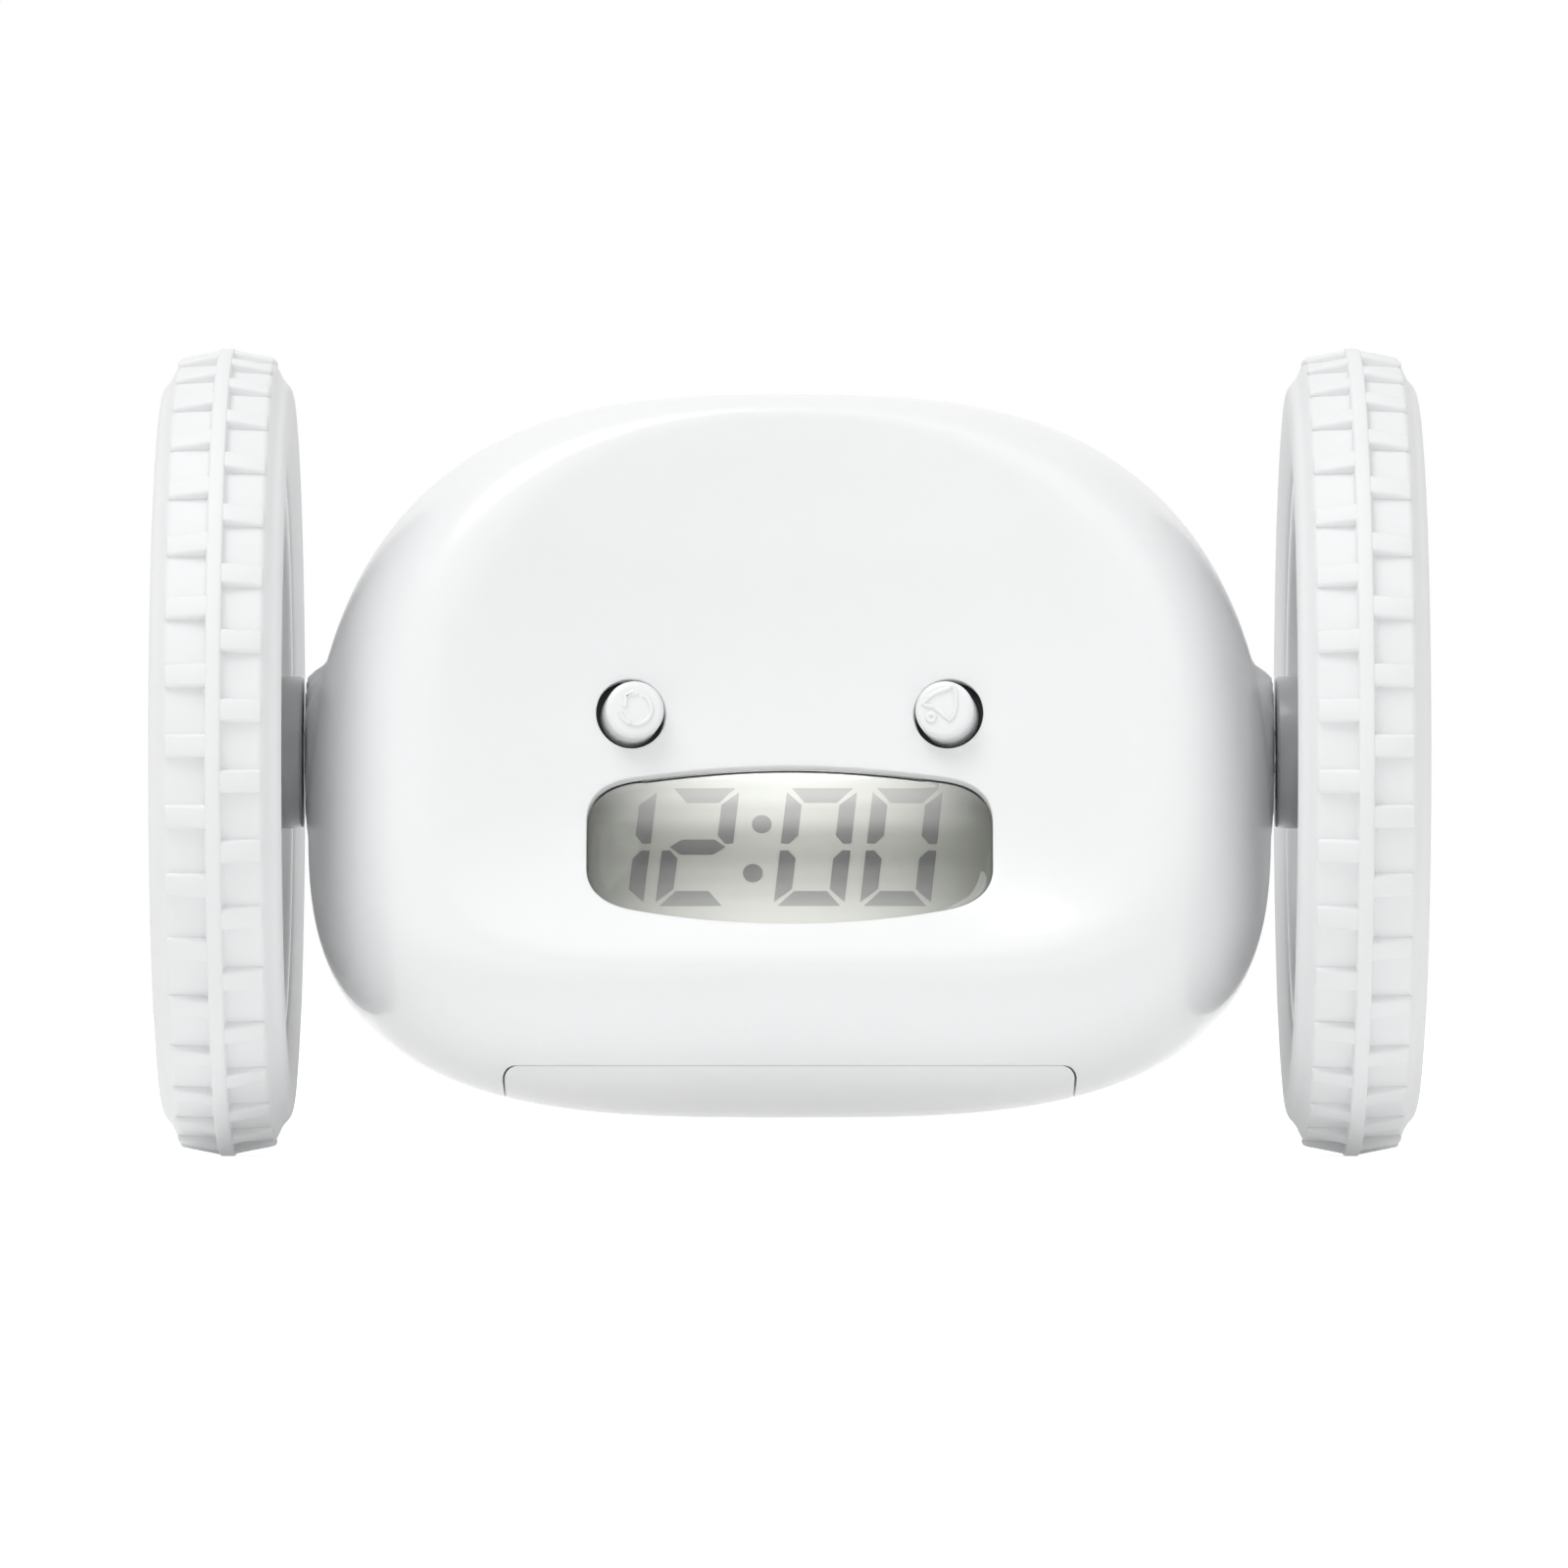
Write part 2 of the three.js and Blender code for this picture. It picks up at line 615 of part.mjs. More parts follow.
function faceButton() {
  const cap = button.capRadius;
  return turnedSolid('y', [
    [0, -button.proud], [cap - button.edge, -button.proud], [cap, button.edge - button.proud],
    [cap, flangeBottom - buttonInside.flangeThick],
    [buttonInside.flangeRadius, flangeBottom - buttonInside.flangeThick],
    [buttonInside.flangeRadius, flangeBottom], [buttonInside.stemRadius, flangeBottom],
    [buttonInside.stemRadius, stemEnd], [0, stemEnd],
  ], buttonSteps);
}

function buttonSwitch() {
  const half = tactSwitch.width / 2;
  const bodyTop = plungerTop + tactSwitch.plungerDepth;
  const body = block([-half, bodyTop, -half], [half, boardDepth - restGap, half]);
  return body.add(rod('y', tactSwitch.plungerRadius, plungerTop, bodyTop + bite, tactSwitch.steps));
}

function mainBoard() {
  return blockGeometry(
    [-board.halfWidth, boardDepth, board.bottom],
    [board.halfWidth, boardDepth + board.thick, board.top]);
}

// Where a button's axis meets the main board, in the ridge's plane
function switchPlace(seat) {
  const axis = new THREE.Vector3(0, 1, 0).applyQuaternion(seat.quaternion);
  const start = seat.position.clone().applyMatrix4(facePlane.matrix.clone().invert());
  const turnedAxis = axis.applyQuaternion(facePlane.quaternion.clone().invert());
  return start.addScaledVector(turnedAxis, (plungerTop - start.y) / turnedAxis.y);
}

// Buzzer

function buzzerSolid() {
  const profile = [[0, buzzer.bottom], [buzzer.radius, buzzer.bottom]];
  profile.push([buzzer.radius, buzzer.bottom + buzzer.thick], [0, buzzer.bottom + buzzer.thick]);
  return turnedSolid('z', profile, buzzer.steps);
}

// Keys, run switch and board at the back

function keyColumns() {
  const middle = (keyNames.length - 1) / 2;
  return keyNames.map((name, i) => (i - middle) * rearKey.pitch);
}

function rearDepthAt(x, z, inset) {
  const direction = Math.atan2(z - face.bowlMiddle, x);
  const share = Math.hypot(x, z - face.bowlMiddle) / loopRadius(direction, casingLoop(inset));
  return rearPoint(direction, share, inset).y;
}

const keyEdge = Math.abs(keyColumns()[0]) + rearKeyInside.flangeRadius;
const keySeat = rearDepthAt(keyEdge, rearKey.height, casing.wall) - rearKeyInside.flangeGap;
const keyStemEnd = keySeat - rearKeyInside.flangeThick - rearKeyInside.stemLength;
const keyPlungerTop = keyStemEnd - rearKey.travel - runGap;
const keyBodyTop = keyPlungerTop - tactSwitch.plungerDepth;
const keyBoardTop = keyBodyTop - tactSwitch.bodyDepth;

function rearKeySolid(x) {
  const top = rearDepthAt(x, rearKey.height, 0) + rearKey.proud;
  const cap = rearKey.capRadius;
  return turnedSolid('y', [
    [0, top], [cap - rearKey.proud / 2, top], [cap, top - rearKey.proud / 2], [cap, keySeat],
    [rearKeyInside.flangeRadius, keySeat], [rearKeyInside.flangeRadius, keySeat - rearKeyInside.flangeThick],
    [rearKeyInside.stemRadius, keySeat - rearKeyInside.flangeThick], [rearKeyInside.stemRadius, keyStemEnd],
    [0, keyStemEnd],
  ], buttonSteps);
}

const plateCorner = [runSwitchInside.plateWidth / 2, runSwitch.height - runSwitchInside.plateHeight / 2];
const knobSeat = rearDepthAt(...plateCorner, casing.wall) - runSwitchInside.gap;

function runKnob() {
  const top = rearDepthAt(0, runSwitch.height, 0) + runSwitch.proud;
  const halfWidth = runSwitch.knobWidth / 2;
  const halfHeight = runSwitch.knobHeight / 2;
  const knob = block([-halfWidth, knobSeat - bite, -halfHeight], [halfWidth, top, halfHeight]);
  const plateHalf = runSwitchInside.plateWidth / 2;
  const plateRise = runSwitchInside.plateHeight / 2;
  const plateUnder = knobSeat - runSwitchInside.plateThick;
  return knob.add(block([-plateHalf, plateUnder, -plateRise], [plateHalf, knobSeat, plateRise]));
}

function rearBoardSolid() {
  const plate = block(
    [-rearBoard.halfWidth, keyBoardTop - rearBoard.thick, rearBoard.bottom],
    [rearBoard.halfWidth, keyBoardTop, rearBoard.top]);
  const parts = [plate];
  for (const x of keyColumns()) {
    const place = [x, 0, rearKey.height];
    const half = tactSwitch.width / 2;
    parts.push(block(
      [x - half, keyBoardTop - bite, rearKey.height - half],
      [x + half, keyBodyTop, rearKey.height + half]));
    parts.push(rod('y', tactSwitch.plungerRadius, keyBodyTop - bite, keyPlungerTop, tactSwitch.steps, place));
  }
  const halfWidth = runSwitchInside.bodyWidth / 2;
  const halfHeight = runSwitchInside.bodyHeight / 2;
  parts.push(block(
    [-halfWidth, keyBoardTop - bite, runSwitch.height - halfHeight],
    [halfWidth, knobSeat - runSwitchInside.plateThick - runGap, runSwitch.height + halfHeight]));
  return joined(parts);
}

// Battery pack

const cellHeight = pack.bottom + cell.radius;
const contactPlace = cell.length / 2 + restGap + contact.springLength;
const trayHalfWidth = contactPlace + contact.thick + restGap + pack.wall;
const trayHalfDepth = cell.pitch * cell.count / 2 + pack.wall;

function cellColumns() {
  const places = [];
  for (let i = 0; i < cell.count; i += 1) places.push(pack.middle + (i - (cell.count - 1) / 2) * cell.pitch);
  return places;
}

function batteryTray() {
  const top = cellHeight + cell.radius + restGap;
  const outer = block(
    [-trayHalfWidth, pack.middle - trayHalfDepth, pack.foot],
    [trayHalfWidth, pack.middle + trayHalfDepth, top + pack.wall]);
  const insideWidth = trayHalfWidth - pack.wall;
  const insideDepth = trayHalfDepth - pack.wall;
  const pocket = block(
    [-insideWidth, pack.middle - insideDepth, pack.foot - overrun],
    [insideWidth, pack.middle + insideDepth, top]);
  return outer.subtract(pocket).intersect(casingForm(casing.wall + restGap));
}

function batteryCell() {
  const half = cell.length / 2;
  return turnedSolid('x', [
    [0, -half], [cell.radius, -half], [cell.radius, half - cell.nubLength],
    [cell.nubRadius, half - cell.nubLength], [cell.nubRadius, half], [0, half],
  ], cell.steps);
}

// A strip across one end of the pack, with a coned spring at every cell whose flat end meets it
function contactStrip(side) {
  const [from, to] = onSide(side, contactPlace, contactPlace + contact.thick);
  const reach = cell.pitch * cell.count / 2 - restGap;
  const half = contact.height / 2;
  const low = [from, pack.middle - reach, cellHeight - half];
  const high = [to, pack.middle + reach, cellHeight + half];
  const parts = [block(low, high)];
  cellColumns().forEach((y, i) => {
    const flatSide = i % 2 ? 1 : -1;
    if (flatSide !== side) return;
    const root = side * (contactPlace + contact.thick / 2);
    const tip = side * (contactPlace - contact.springLength);
    const profile = [[0, root], [contact.springRadius, root], [contact.tipRadius, tip], [0, tip]];
    parts.push(toSolid(turned('x', profile, cell.steps).translate(0, y, cellHeight)));
  });
  return joined(parts).intersect(casingForm(casing.wall + restGap));
}

// Wheels, drawn about their own centre with the outer side towards +X

function tyreSolid() {
  const floor = wheelRadius - tyre.treadDepth;
  const half = [
    [wheelRadius, tyre.ribHalf], [floor, tyre.ribHalf], [floor, tyre.treadHalf],
    [wheelRadius - tyre.shoulderDrop, tyre.shoulderHalf], [wheelRadius - tyre.cheekDrop, tyre.width / 2],
    [rimSeatRadius, tyre.beadHalf],
  ];
  const mirrored = half.map(([radius, place]) => [radius, -place]).reverse();
  const ring = turnedSolid('x', [...half, ...mirrored], wheelSteps);
  return ring.add(toSolid(mergeGeometries([...lugRow(1, 0), ...lugRow(-1, tyre.staggerShare)])));
}

function lugRow(direction, pitchShare) {
  const inner = direction * (tyre.ribHalf - bite);
  const outer = direction * tyre.lugHalf;
  const root = wheelRadius - tyre.treadDepth - bite;
  const top = wheelRadius - tyre.lugDrop;
  const shape = new THREE.Shape([
    new THREE.Vector2(inner, root), new THREE.Vector2(outer, root),
    new THREE.Vector2(outer, top - tyre.lugFall), new THREE.Vector2(inner, top),
  ]);
  const lugs = [];
  for (let i = 0; i < tyre.lugsPerRow; i += 1) {
    const lug = plateAlongY(shape, -tyre.lugLength / 2, tyre.lugLength / 2);
    lugs.push(lug.rotateX(fullTurn * (i + pitchShare) / tyre.lugsPerRow));
  }
  return lugs;
}

function rimSolid() {
  const seat = rimSeatRadius * Math.cos(Math.PI / wheelSteps) - restGap;
  const barrel = seat - rim.barrelThick;
  const webOuter = rim.webInner + rim.webThick;
  return turnedSolid('x', [
    [axle.radius + runGap, -rim.hubInner], [rim.hubRadius, -rim.hubInner], [rim.hubRadius, rim.webInner],
    [barrel, rim.webInner], [barrel, -rim.seatHalf], [seat, -rim.seatHalf], [seat, rim.seatHalf],
    [barrel, rim.seatHalf], [barrel, webOuter], [rim.hubRadius, webOuter], [rim.hubRadius, rim.hubOuter],
    [axle.radius + runGap, rim.hubOuter],
  ], rim.steps);
}

function driveCollar() {
  const from = neckFace + runGap - wheelCentre;
  return tube('x', collar.radius, axle.radius + runGap, from, -rim.hubInner - restGap, collar.steps);
}

function axleSolid() {
  const end = rim.hubOuter - axle.tipGap;
  const start = gearboxInner - axle.tail - wheelCentre;
  return turnedSolid('x', [
    [0, start], [axle.radius, start], [axle.radius, end], [axle.threadRadius, end],
    [axle.threadRadius, end - axle.threadDepth], [0, end - axle.threadDepth],
  ], axle.steps);
}

function wheelScrewSolid() {
  const under = rim.hubOuter + restGap;
  const shank = axle.threadRadius - wheelScrew.slack;
  const tip = rim.hubOuter - axle.tipGap - axle.threadDepth + wheelScrew.slack;
  return turnedSolid('x', [
    [0, tip], [shank, tip], [shank, under], [wheelScrew.headRadius, under],
    [wheelScrew.headRadius, under + wheelScrew.headHeight], [0, under + wheelScrew.headHeight],
  ], wheelScrew.steps);
}

function hubCapSolid() {
  const foot = rim.webInner + rim.webThick + restGap;
  const ceiling = rim.hubOuter + 2 * restGap + wheelScrew.headHeight;
  const inside = rim.hubRadius + restGap;
  const outside = inside + hubCap.skirt;
  const crown = ceiling + hubCap.wall;
  return turnedSolid('x', [
    [0, ceiling], [inside, ceiling], [inside, foot], [outside, foot], [outside, foot + hubCap.rise],
    [inside, crown - hubCap.shoulderDrop], [outside * hubCap.crownShare, crown], [0, crown],
  ], hubCap.steps);
}

// Gears, drawn in Y and Z

function involute(angle) {
  return Math.tan(angle) - angle;
}

// Half the angle of a tooth at a radius
function toothHalfAngle(teeth, radius) {
  const pitchRadius = gears.module * teeth / 2;
  const baseRadius = pitchRadius * Math.cos(pressureAngle);
  const angle = Math.acos(Math.min(1, baseRadius / radius));
  const atPitch = Math.PI / (2 * teeth) - gears.backlash / (2 * pitchRadius);
  return atPitch + involute(pressureAngle) - involute(angle);
}

function gearShape(teeth, firstTooth, boreRadius) {
  const pitchRadius = gears.module * teeth / 2;
  const tip = pitchRadius + gears.module * addendumShare;
  const root = pitchRadius - gears.module * dedendumShare;
  const points = [];
  for (let i = 0; i < teeth; i += 1) {
    const middle = firstTooth + fullTurn * i / teeth;
    for (const [radius, hand] of [[root, -1], [tip, -1], [tip, 1], [root, 1]]) {
      const angle = middle + hand * toothHalfAngle(teeth, radius);
      points.push(new THREE.Vector2(radius * Math.cos(angle), radius * Math.sin(angle)));
    }
  }
  const shape = new THREE.Shape(points);
  if (boreRadius > 0) {
    shape.holes.push(new THREE.Path().absarc(0, 0, boreRadius, 0, fullTurn, true));
  }
  return shape;
}

function gear(side, teeth, firstTooth, boreRadius, from, to) {
  const shape = gearShape(teeth, firstTooth, boreRadius);
  return toSolid(plateAlongX(shape, ...onSide(side, from, to), gears.boreSteps));
}

// Places of the gears' faces inside the gearbox, from its base outwards
const largeFrom = gearboxInner + gearbox.base + restGap + gearWidth.side;
const largeTo = largeFrom + gearWidth.large;
const smallTo = largeTo + gearWidth.side + gearWidth.small;

function outputGear(side) {
  const from = largeTo + gearWidth.side;
  return gear(side, gears.largeTeeth, idlerAngle, axle.radius + runGap / 2, from, from + gearWidth.large);
}

function doubleGear(side) {
  const bore = idlerPinRadius + runGap;
  const smallTooth = idlerAngle + Math.PI + Math.PI / gears.smallTeeth;
  const large = gear(side, gears.largeTeeth, motorAngle, bore, largeFrom, largeTo);
  return large.add(gear(side, gears.smallTeeth, smallTooth, bore, largeTo - bite, smallTo));
}

function motorPinion(side) {
  const firstTooth = motorAngle + Math.PI + Math.PI / gears.smallTeeth;
  const from = largeFrom - gearWidth.side / 2;
  const teeth = gear(side, gears.smallTeeth, firstTooth, 0, from, largeTo + gearWidth.side / 2);
  const span = onSide(side, gearboxInner - restGap - motor.shaftDepth, largeTo);
  return teeth.add(rod('x', motor.shaftRadius, ...span, gears.boreSteps));
}

// Gearbox

function stadium(from, to, radius) {
  const angle = Math.atan2(to[1] - from[1], to[0] - from[0]);
  const shape = new THREE.Shape();
  shape.absarc(from[0], from[1], radius, angle + quarterTurn, angle + 3 * quarterTurn, false);
  shape.absarc(to[0], to[1], radius, angle - quarterTurn, angle + quarterTurn, false);
  return shape;
}

function gearboxOutline(side, shrink, from, to) {
  const span = onSide(side, from, to);
  const lower = stadium([0, 0], idlerPlace, gearboxReach - shrink);
  const upper = stadium(idlerPlace, motorPlace, gearbox.motorEnd + gearbox.wall - shrink);
  return joined([lower, upper].map((shape) => toSolid(plateAlongX(shape, ...span, gearbox.arcSteps))));
}

function shaftHole(side, radius, place, from, to) {
  return rod('x', radius, ...onSide(side, from, to), gears.boreSteps, [0, ...place]);
}

function gearboxBase(side) {
  const inner = gearboxInner;
  const outer = inner + gearbox.base;
  const plate = gearboxOutline(side, 0, inner, outer);
  const holes = [
    shaftHole(side, axle.radius + runGap, [0, 0], inner - overrun, outer + overrun),
    shaftHole(side, idlerPinRadius + restGap, idlerPlace, inner - overrun, outer + overrun),
    shaftHole(side, motor.shaftRadius + runGap, motorPlace, inner - overrun, outer + overrun),
  ];
  return holes.reduce((whole, hole) => whole.subtract(hole), plate);
}

function gearboxCover(side) {
  const inner = gearboxInner + gearbox.base + restGap;
  const ceiling = gearboxOuter - gearbox.wall;
  const cup = gearboxOutline(side, 0, inner, gearboxOuter)
    .subtract(gearboxOutline(side, gearbox.wall, inner - overrun, ceiling));
  const holes = [
    shaftHole(side, axle.radius + runGap, [0, 0], ceiling - overrun, gearboxOuter + overrun),
    shaftHole(side, idlerPinRadius + restGap, idlerPlace, ceiling - overrun, gearboxOuter + overrun),
  ];
  return holes.reduce((whole, hole) => whole.subtract(hole), cup);
}

function motorSolid(side) {
  const end = gearboxInner - restGap;
  const span = onSide(side, end - motor.length, end);
  const can = rod('x', motor.radius, ...span, motor.steps);
  const flats = block([span[0], -motor.radius, -motor.flatHalf], [span[1], motor.radius, motor.flatHalf]);
  const holeSpan = onSide(side, end - motor.shaftDepth - restGap, end + overrun);
  const hole = rod('x', motor.shaftRadius + runGap, ...holeSpan, gears.boreSteps);
  return can.intersect(flats).subtract(hole);
}

function casingScrew() {
  const top = screw.seat + screw.headHeight;
  return turnedSolid('y', [
    [0, screw.seat - screw.length], [screw.shankRadius, screw.seat - screw.length],
    [screw.shankRadius, screw.seat + restGap], [screw.headRadius, screw.seat + restGap],
    [screw.headRadius, top + restGap], [0, top + restGap],
  ], screw.steps);
}

// Materials

function finish(color, roughness, metalness = 0) {
  return () => new THREE.MeshStandardMaterial({ color, roughness, metalness });
}

const glossWhite = finish(0xf1f2f3, 0.25);
const tyreWhite = finish(0xeff0f0, 0.7);
const rimWhite = finish(0xe9eaeb, 0.45);
const collarGrey = finish(0x9fa2a4, 0.5);
const clearLens = finish(0xf4f6f6, 0.08);
const displayGrey = finish(0xb9bcae, 0.3);
const darkPlastic = finish(0x2b2d30, 0.6);
const paleNylon = finish(0xe8e6dc, 0.5);
const boardGreen = finish(0x2f6b45, 0.6);
const steel = finish(0xb8babc, 0.35, 1);
const brass = finish(0xb6955a, 0.4, 1);
const cellWrap = finish(0x5f666b, 0.4, 0.2);

// Assembly

const clock = new THREE.Group();
clock.position.set(0, 0, axleHeight);

function add(parent, name, solid, material, place = [0, 0, 0]) {
  const geometry = solid.isBufferGeometry ? toGeometry(toSolid(solid)) : toGeometry(solid);
  const mesh = new THREE.Mesh(geometry, material());
  mesh.name = name;
  mesh.position.set(...place);
  parent.add(mesh);
  return mesh;
}

function addCasing() {
  add(clock, 'front_shell', frontShell(), glossWhite);
  add(clock, 'rear_shell', rearShell(), glossWhite);
  add(clock, 'battery_door', batteryDoor(), glossWhite);
  screwAxes().forEach(([x, z], i) => add(clock, `casing_screw_${i + 1}`, casingScrew(), steel, [x, 0, z]));
}

function addDisplay() {
  add(clock, 'window_lens', windowLens(), clearLens);
  clock.add(displaySeat);
  add(displaySeat, 'display_panel', displayPanel(), displayGrey);
  add(clock, 'display_frame', displayFrame(), darkPlastic);
}

function addFaceButtons() {
  clock.add(facePlane);
  add(facePlane, 'main_board', mainBoard(), boardGreen);
  for (const [side, name] of [['left', 'snooze'], ['right', 'alarm']]) {
    const seat = buttonSeats[side];
    clock.add(seat);
    add(seat, `${name}_button`, faceButton(), glossWhite);
    const place = switchPlace(seat);
    add(facePlane, `${name}_switch`, buttonSwitch(), darkPlastic, [place.x, 0, place.z]);
  }
}

function addBack() {
  add(clock, 'rear_board', rearBoardSolid(), boardGreen);
  keyColumns().forEach((x, i) => {
    add(clock, keyNames[i], rearKeySolid(x), glossWhite, [x, 0, rearKey.height]);
  });
  add(clock, 'run_switch', runKnob(), darkPlastic, [-runSwitch.travel / 2, 0, runSwitch.height]);
  add(clock, 'buzzer', buzzerSolid(), darkPlastic, [0, buzzer.place, 0]);
}

function addBatteries() {
  add(clock, 'battery_tray', batteryTray(), paleNylon);
  cellColumns().forEach((y, i) => {
    const holder = new THREE.Group();
    holder.position.set(0, y, cellHeight);
    if (i % 2) holder.rotation.z = Math.PI;
    clock.add(holder);
    add(holder, `battery_${i + 1}`, batteryCell(), cellWrap);
  });
  add(clock, 'left_contact', contactStrip(-1), steel);
  add(clock, 'right_contact', contactStrip(1), steel);
}

function addDrive(side, name) {
  add(clock, `${name}_gearbox_base`, gearboxBase(side), paleNylon);
  add(clock, `${name}_gearbox_cover`, gearboxCover(side), paleNylon);
  add(clock, `${name}_motor`, motorSolid(side), steel, [0, ...motorPlace]);
  add(clock, `${name}_motor_pinion`, motorPinion(side), brass, [0, ...motorPlace]);
  add(clock, `${name}_double_gear`, doubleGear(side), paleNylon, [0, ...idlerPlace]);
  const pinSpan = onSide(side, gearboxInner + restGap, gearboxOuter);
  const pin = rod('x', idlerPinRadius, ...pinSpan, gears.boreSteps);
  add(clock, `${name}_gear_pin`, pin, steel, [0, ...idlerPlace]);
  add(clock, `${name}_output_gear`, outputGear(side), paleNylon);
  const bushSpan = onSide(side, neckInner - bush.tail, neckFace - bush.faceSink);
  add(clock, `${name}_bush`, tube('x', bush.radius, axle.radius + runGap, ...bushSpan, bush.steps), brass);
}

function addWheel(side, name) {
  const wheel = new THREE.Group();
  wheel.position.set(side * wheelCentre, 0, 0);
  if (side < 0) wheel.rotation.z = Math.PI;
  clock.add(wheel);
  add(wheel, `${name}_tyre`, tyreSolid(), tyreWhite);
  add(wheel, `${name}_rim`, rimSolid(), rimWhite);
  add(wheel, `${name}_hub_cap`, hubCapSolid(), glossWhite);
  add(wheel, `${name}_drive_collar`, driveCollar(), collarGrey);
  add(wheel, `${name}_axle`, axleSolid(), steel);
  add(wheel, `${name}_wheel_screw`, wheelScrewSolid(), steel);
}

addCasing();
addDisplay();
addFaceButtons();
addBack();
addBatteries();
for (const [side, name] of [[-1, 'left'], [1, 'right']]) {
  addDrive(side, name);
  addWheel(side, name);
}

const model = new THREE.Group();
model.add(clock);
export default model;
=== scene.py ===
import contextlib
import json
import math

import bpy
import numpy as np
from bpy.props import FloatProperty, FloatVectorProperty, IntProperty, PointerProperty
from mathutils import Matrix, Vector

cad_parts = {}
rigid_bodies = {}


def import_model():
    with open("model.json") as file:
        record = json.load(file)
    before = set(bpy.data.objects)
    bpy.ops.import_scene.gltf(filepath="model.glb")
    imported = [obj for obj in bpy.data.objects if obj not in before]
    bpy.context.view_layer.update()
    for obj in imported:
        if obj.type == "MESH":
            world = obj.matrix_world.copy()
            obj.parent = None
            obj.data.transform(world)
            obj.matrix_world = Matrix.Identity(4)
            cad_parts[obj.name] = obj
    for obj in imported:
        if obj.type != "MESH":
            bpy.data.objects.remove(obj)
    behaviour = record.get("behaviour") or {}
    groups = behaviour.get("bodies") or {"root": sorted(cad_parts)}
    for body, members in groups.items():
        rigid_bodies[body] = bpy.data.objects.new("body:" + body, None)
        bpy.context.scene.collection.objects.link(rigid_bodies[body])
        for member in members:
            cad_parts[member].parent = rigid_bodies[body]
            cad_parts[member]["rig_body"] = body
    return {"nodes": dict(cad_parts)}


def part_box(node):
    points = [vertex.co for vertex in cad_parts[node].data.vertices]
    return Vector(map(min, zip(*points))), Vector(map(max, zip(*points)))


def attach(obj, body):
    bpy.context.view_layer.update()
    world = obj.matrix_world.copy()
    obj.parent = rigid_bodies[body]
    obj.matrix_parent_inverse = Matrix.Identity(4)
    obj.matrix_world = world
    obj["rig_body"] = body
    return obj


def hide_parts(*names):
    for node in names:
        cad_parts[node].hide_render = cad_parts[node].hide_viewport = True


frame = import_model()

bl_info = {
    "name": "Runaway alarm clock",
    "version": (1, 0, 0),
    "blender": (4, 5, 0),
    "location": "View3D > Sidebar > Alarm clock",
    "description": "Builds the casing, window, buttons, wheels and finishes of a wheeled alarm clock",
    "category": "Add Mesh",
}

FULL_TURN = 2 * math.pi
AXLE_HEIGHT = (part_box("left_axle")[0].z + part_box("left_axle")[1].z) / 2
AXLE = Vector((0, 0, AXLE_HEIGHT))
WHEEL_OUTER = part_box("right_tyre")[1].x
WHEEL_WIDTH = WHEEL_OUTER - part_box("right_tyre")[0].x
WHEEL_CENTRE = WHEEL_OUTER - WHEEL_WIDTH / 2


# Sizes and colours that a user may change

def length(name, default, description):
    return FloatProperty(name=name, description=description, default=default, unit="LENGTH", precision=5)


def angle(name, degrees, description):
    return FloatProperty(name=name, description=description, default=math.radians(degrees), subtype="ANGLE")


def colour(name, default, description):
    return FloatVectorProperty(
        name=name, description=description, default=default, subtype="COLOR", min=0, max=1)


class CasingSizes(bpy.types.PropertyGroup):
    half_width: length("Half width", 0.0518, "From the middle to the casing's widest place")
    rise: length("Rise", 0.0452, "Height of the upper part of the outline")
    drop: length("Drop", 0.0324, "Height of the lower part of the outline")
    middle: length("Widest height", -0.007, "Height of the widest place above the axle line")
    rear_depth: length("Rear depth", 0.036, "From the axle line to the back")
    wall: length("Wall", 0.002, "Thickness of the moulded wall")
    seam: length("Seam", 0.0002, "Gap between the front and rear halves")
    neck_radius: length("Neck radius", 0.0084, "Radius of the boss round each axle")
    neck_reach: length("Neck reach", 0.052, "From the middle to the face of each boss")
    bore_radius: length("Bore radius", 0.0053, "Radius of the hole for each bush")


class FaceSizes(bpy.types.PropertyGroup):
    half_width: length("Half width", 0.0385, "From the middle to the side of the ridge")
    rise: length("Rise", 0.0354, "From the axle line to the top of the ridge")
    drop: length("Drop", 0.0227, "From the axle line to the bottom of the ridge")
    reach: length("Reach", 0.0319, "How far the ridge stands in front of the axle line")
    tilt: angle("Tilt", 11, "How far the face leans back")
    bowl_depth: length("Bowl depth", 0.006, "Depth of the dished face")
    bowl_middle: length("Bowl middle", 0.004, "Height of the deepest place above the axle line")
    ridge_radius: length("Ridge radius", 0.004, "Roundness of the ridge on its inner side")


class WindowSizes(bpy.types.PropertyGroup):
    place: length("Height", -0.0095, "Height of the window's middle on the face")
    width: length("Width", 0.0429, "Width of the window")
    height: length("Height", 0.0167, "Height of the window")
    bulge: length("Bulge", 0.0015, "How far the long edges bow outwards")
    corner: length("Corner", 0.005, "Size of the rounded corners")
    recess: length("Recess", 0.0008, "How far the lens sits below the face")
    lens_thick: length("Lens thickness", 0.0012, "Thickness of the lens")
    fit_gap: length("Fit gap", 0.00005, "Gap round the lens")
    lip: length("Lip", 0.00016, "Rounding of the window's edge")


class DisplaySizes(bpy.types.PropertyGroup):
    digit_height: length("Digit height", 0.0139, "Height of the numbers")
    digit_width: length("Digit width", 0.00745, "Width of the numbers")
    stroke: length("Stroke", 0.00172, "Thickness of a segment")
    gap: length("Gap", 0.00045, "Gap between two segments")
    slant: angle("Slant", 6, "How far the numbers lean")
    rise: length("Height", 0.0009, "Height of the numbers above the middle of the panel")
    dot: length("Dot", 0.00105, "Radius of the two dots")


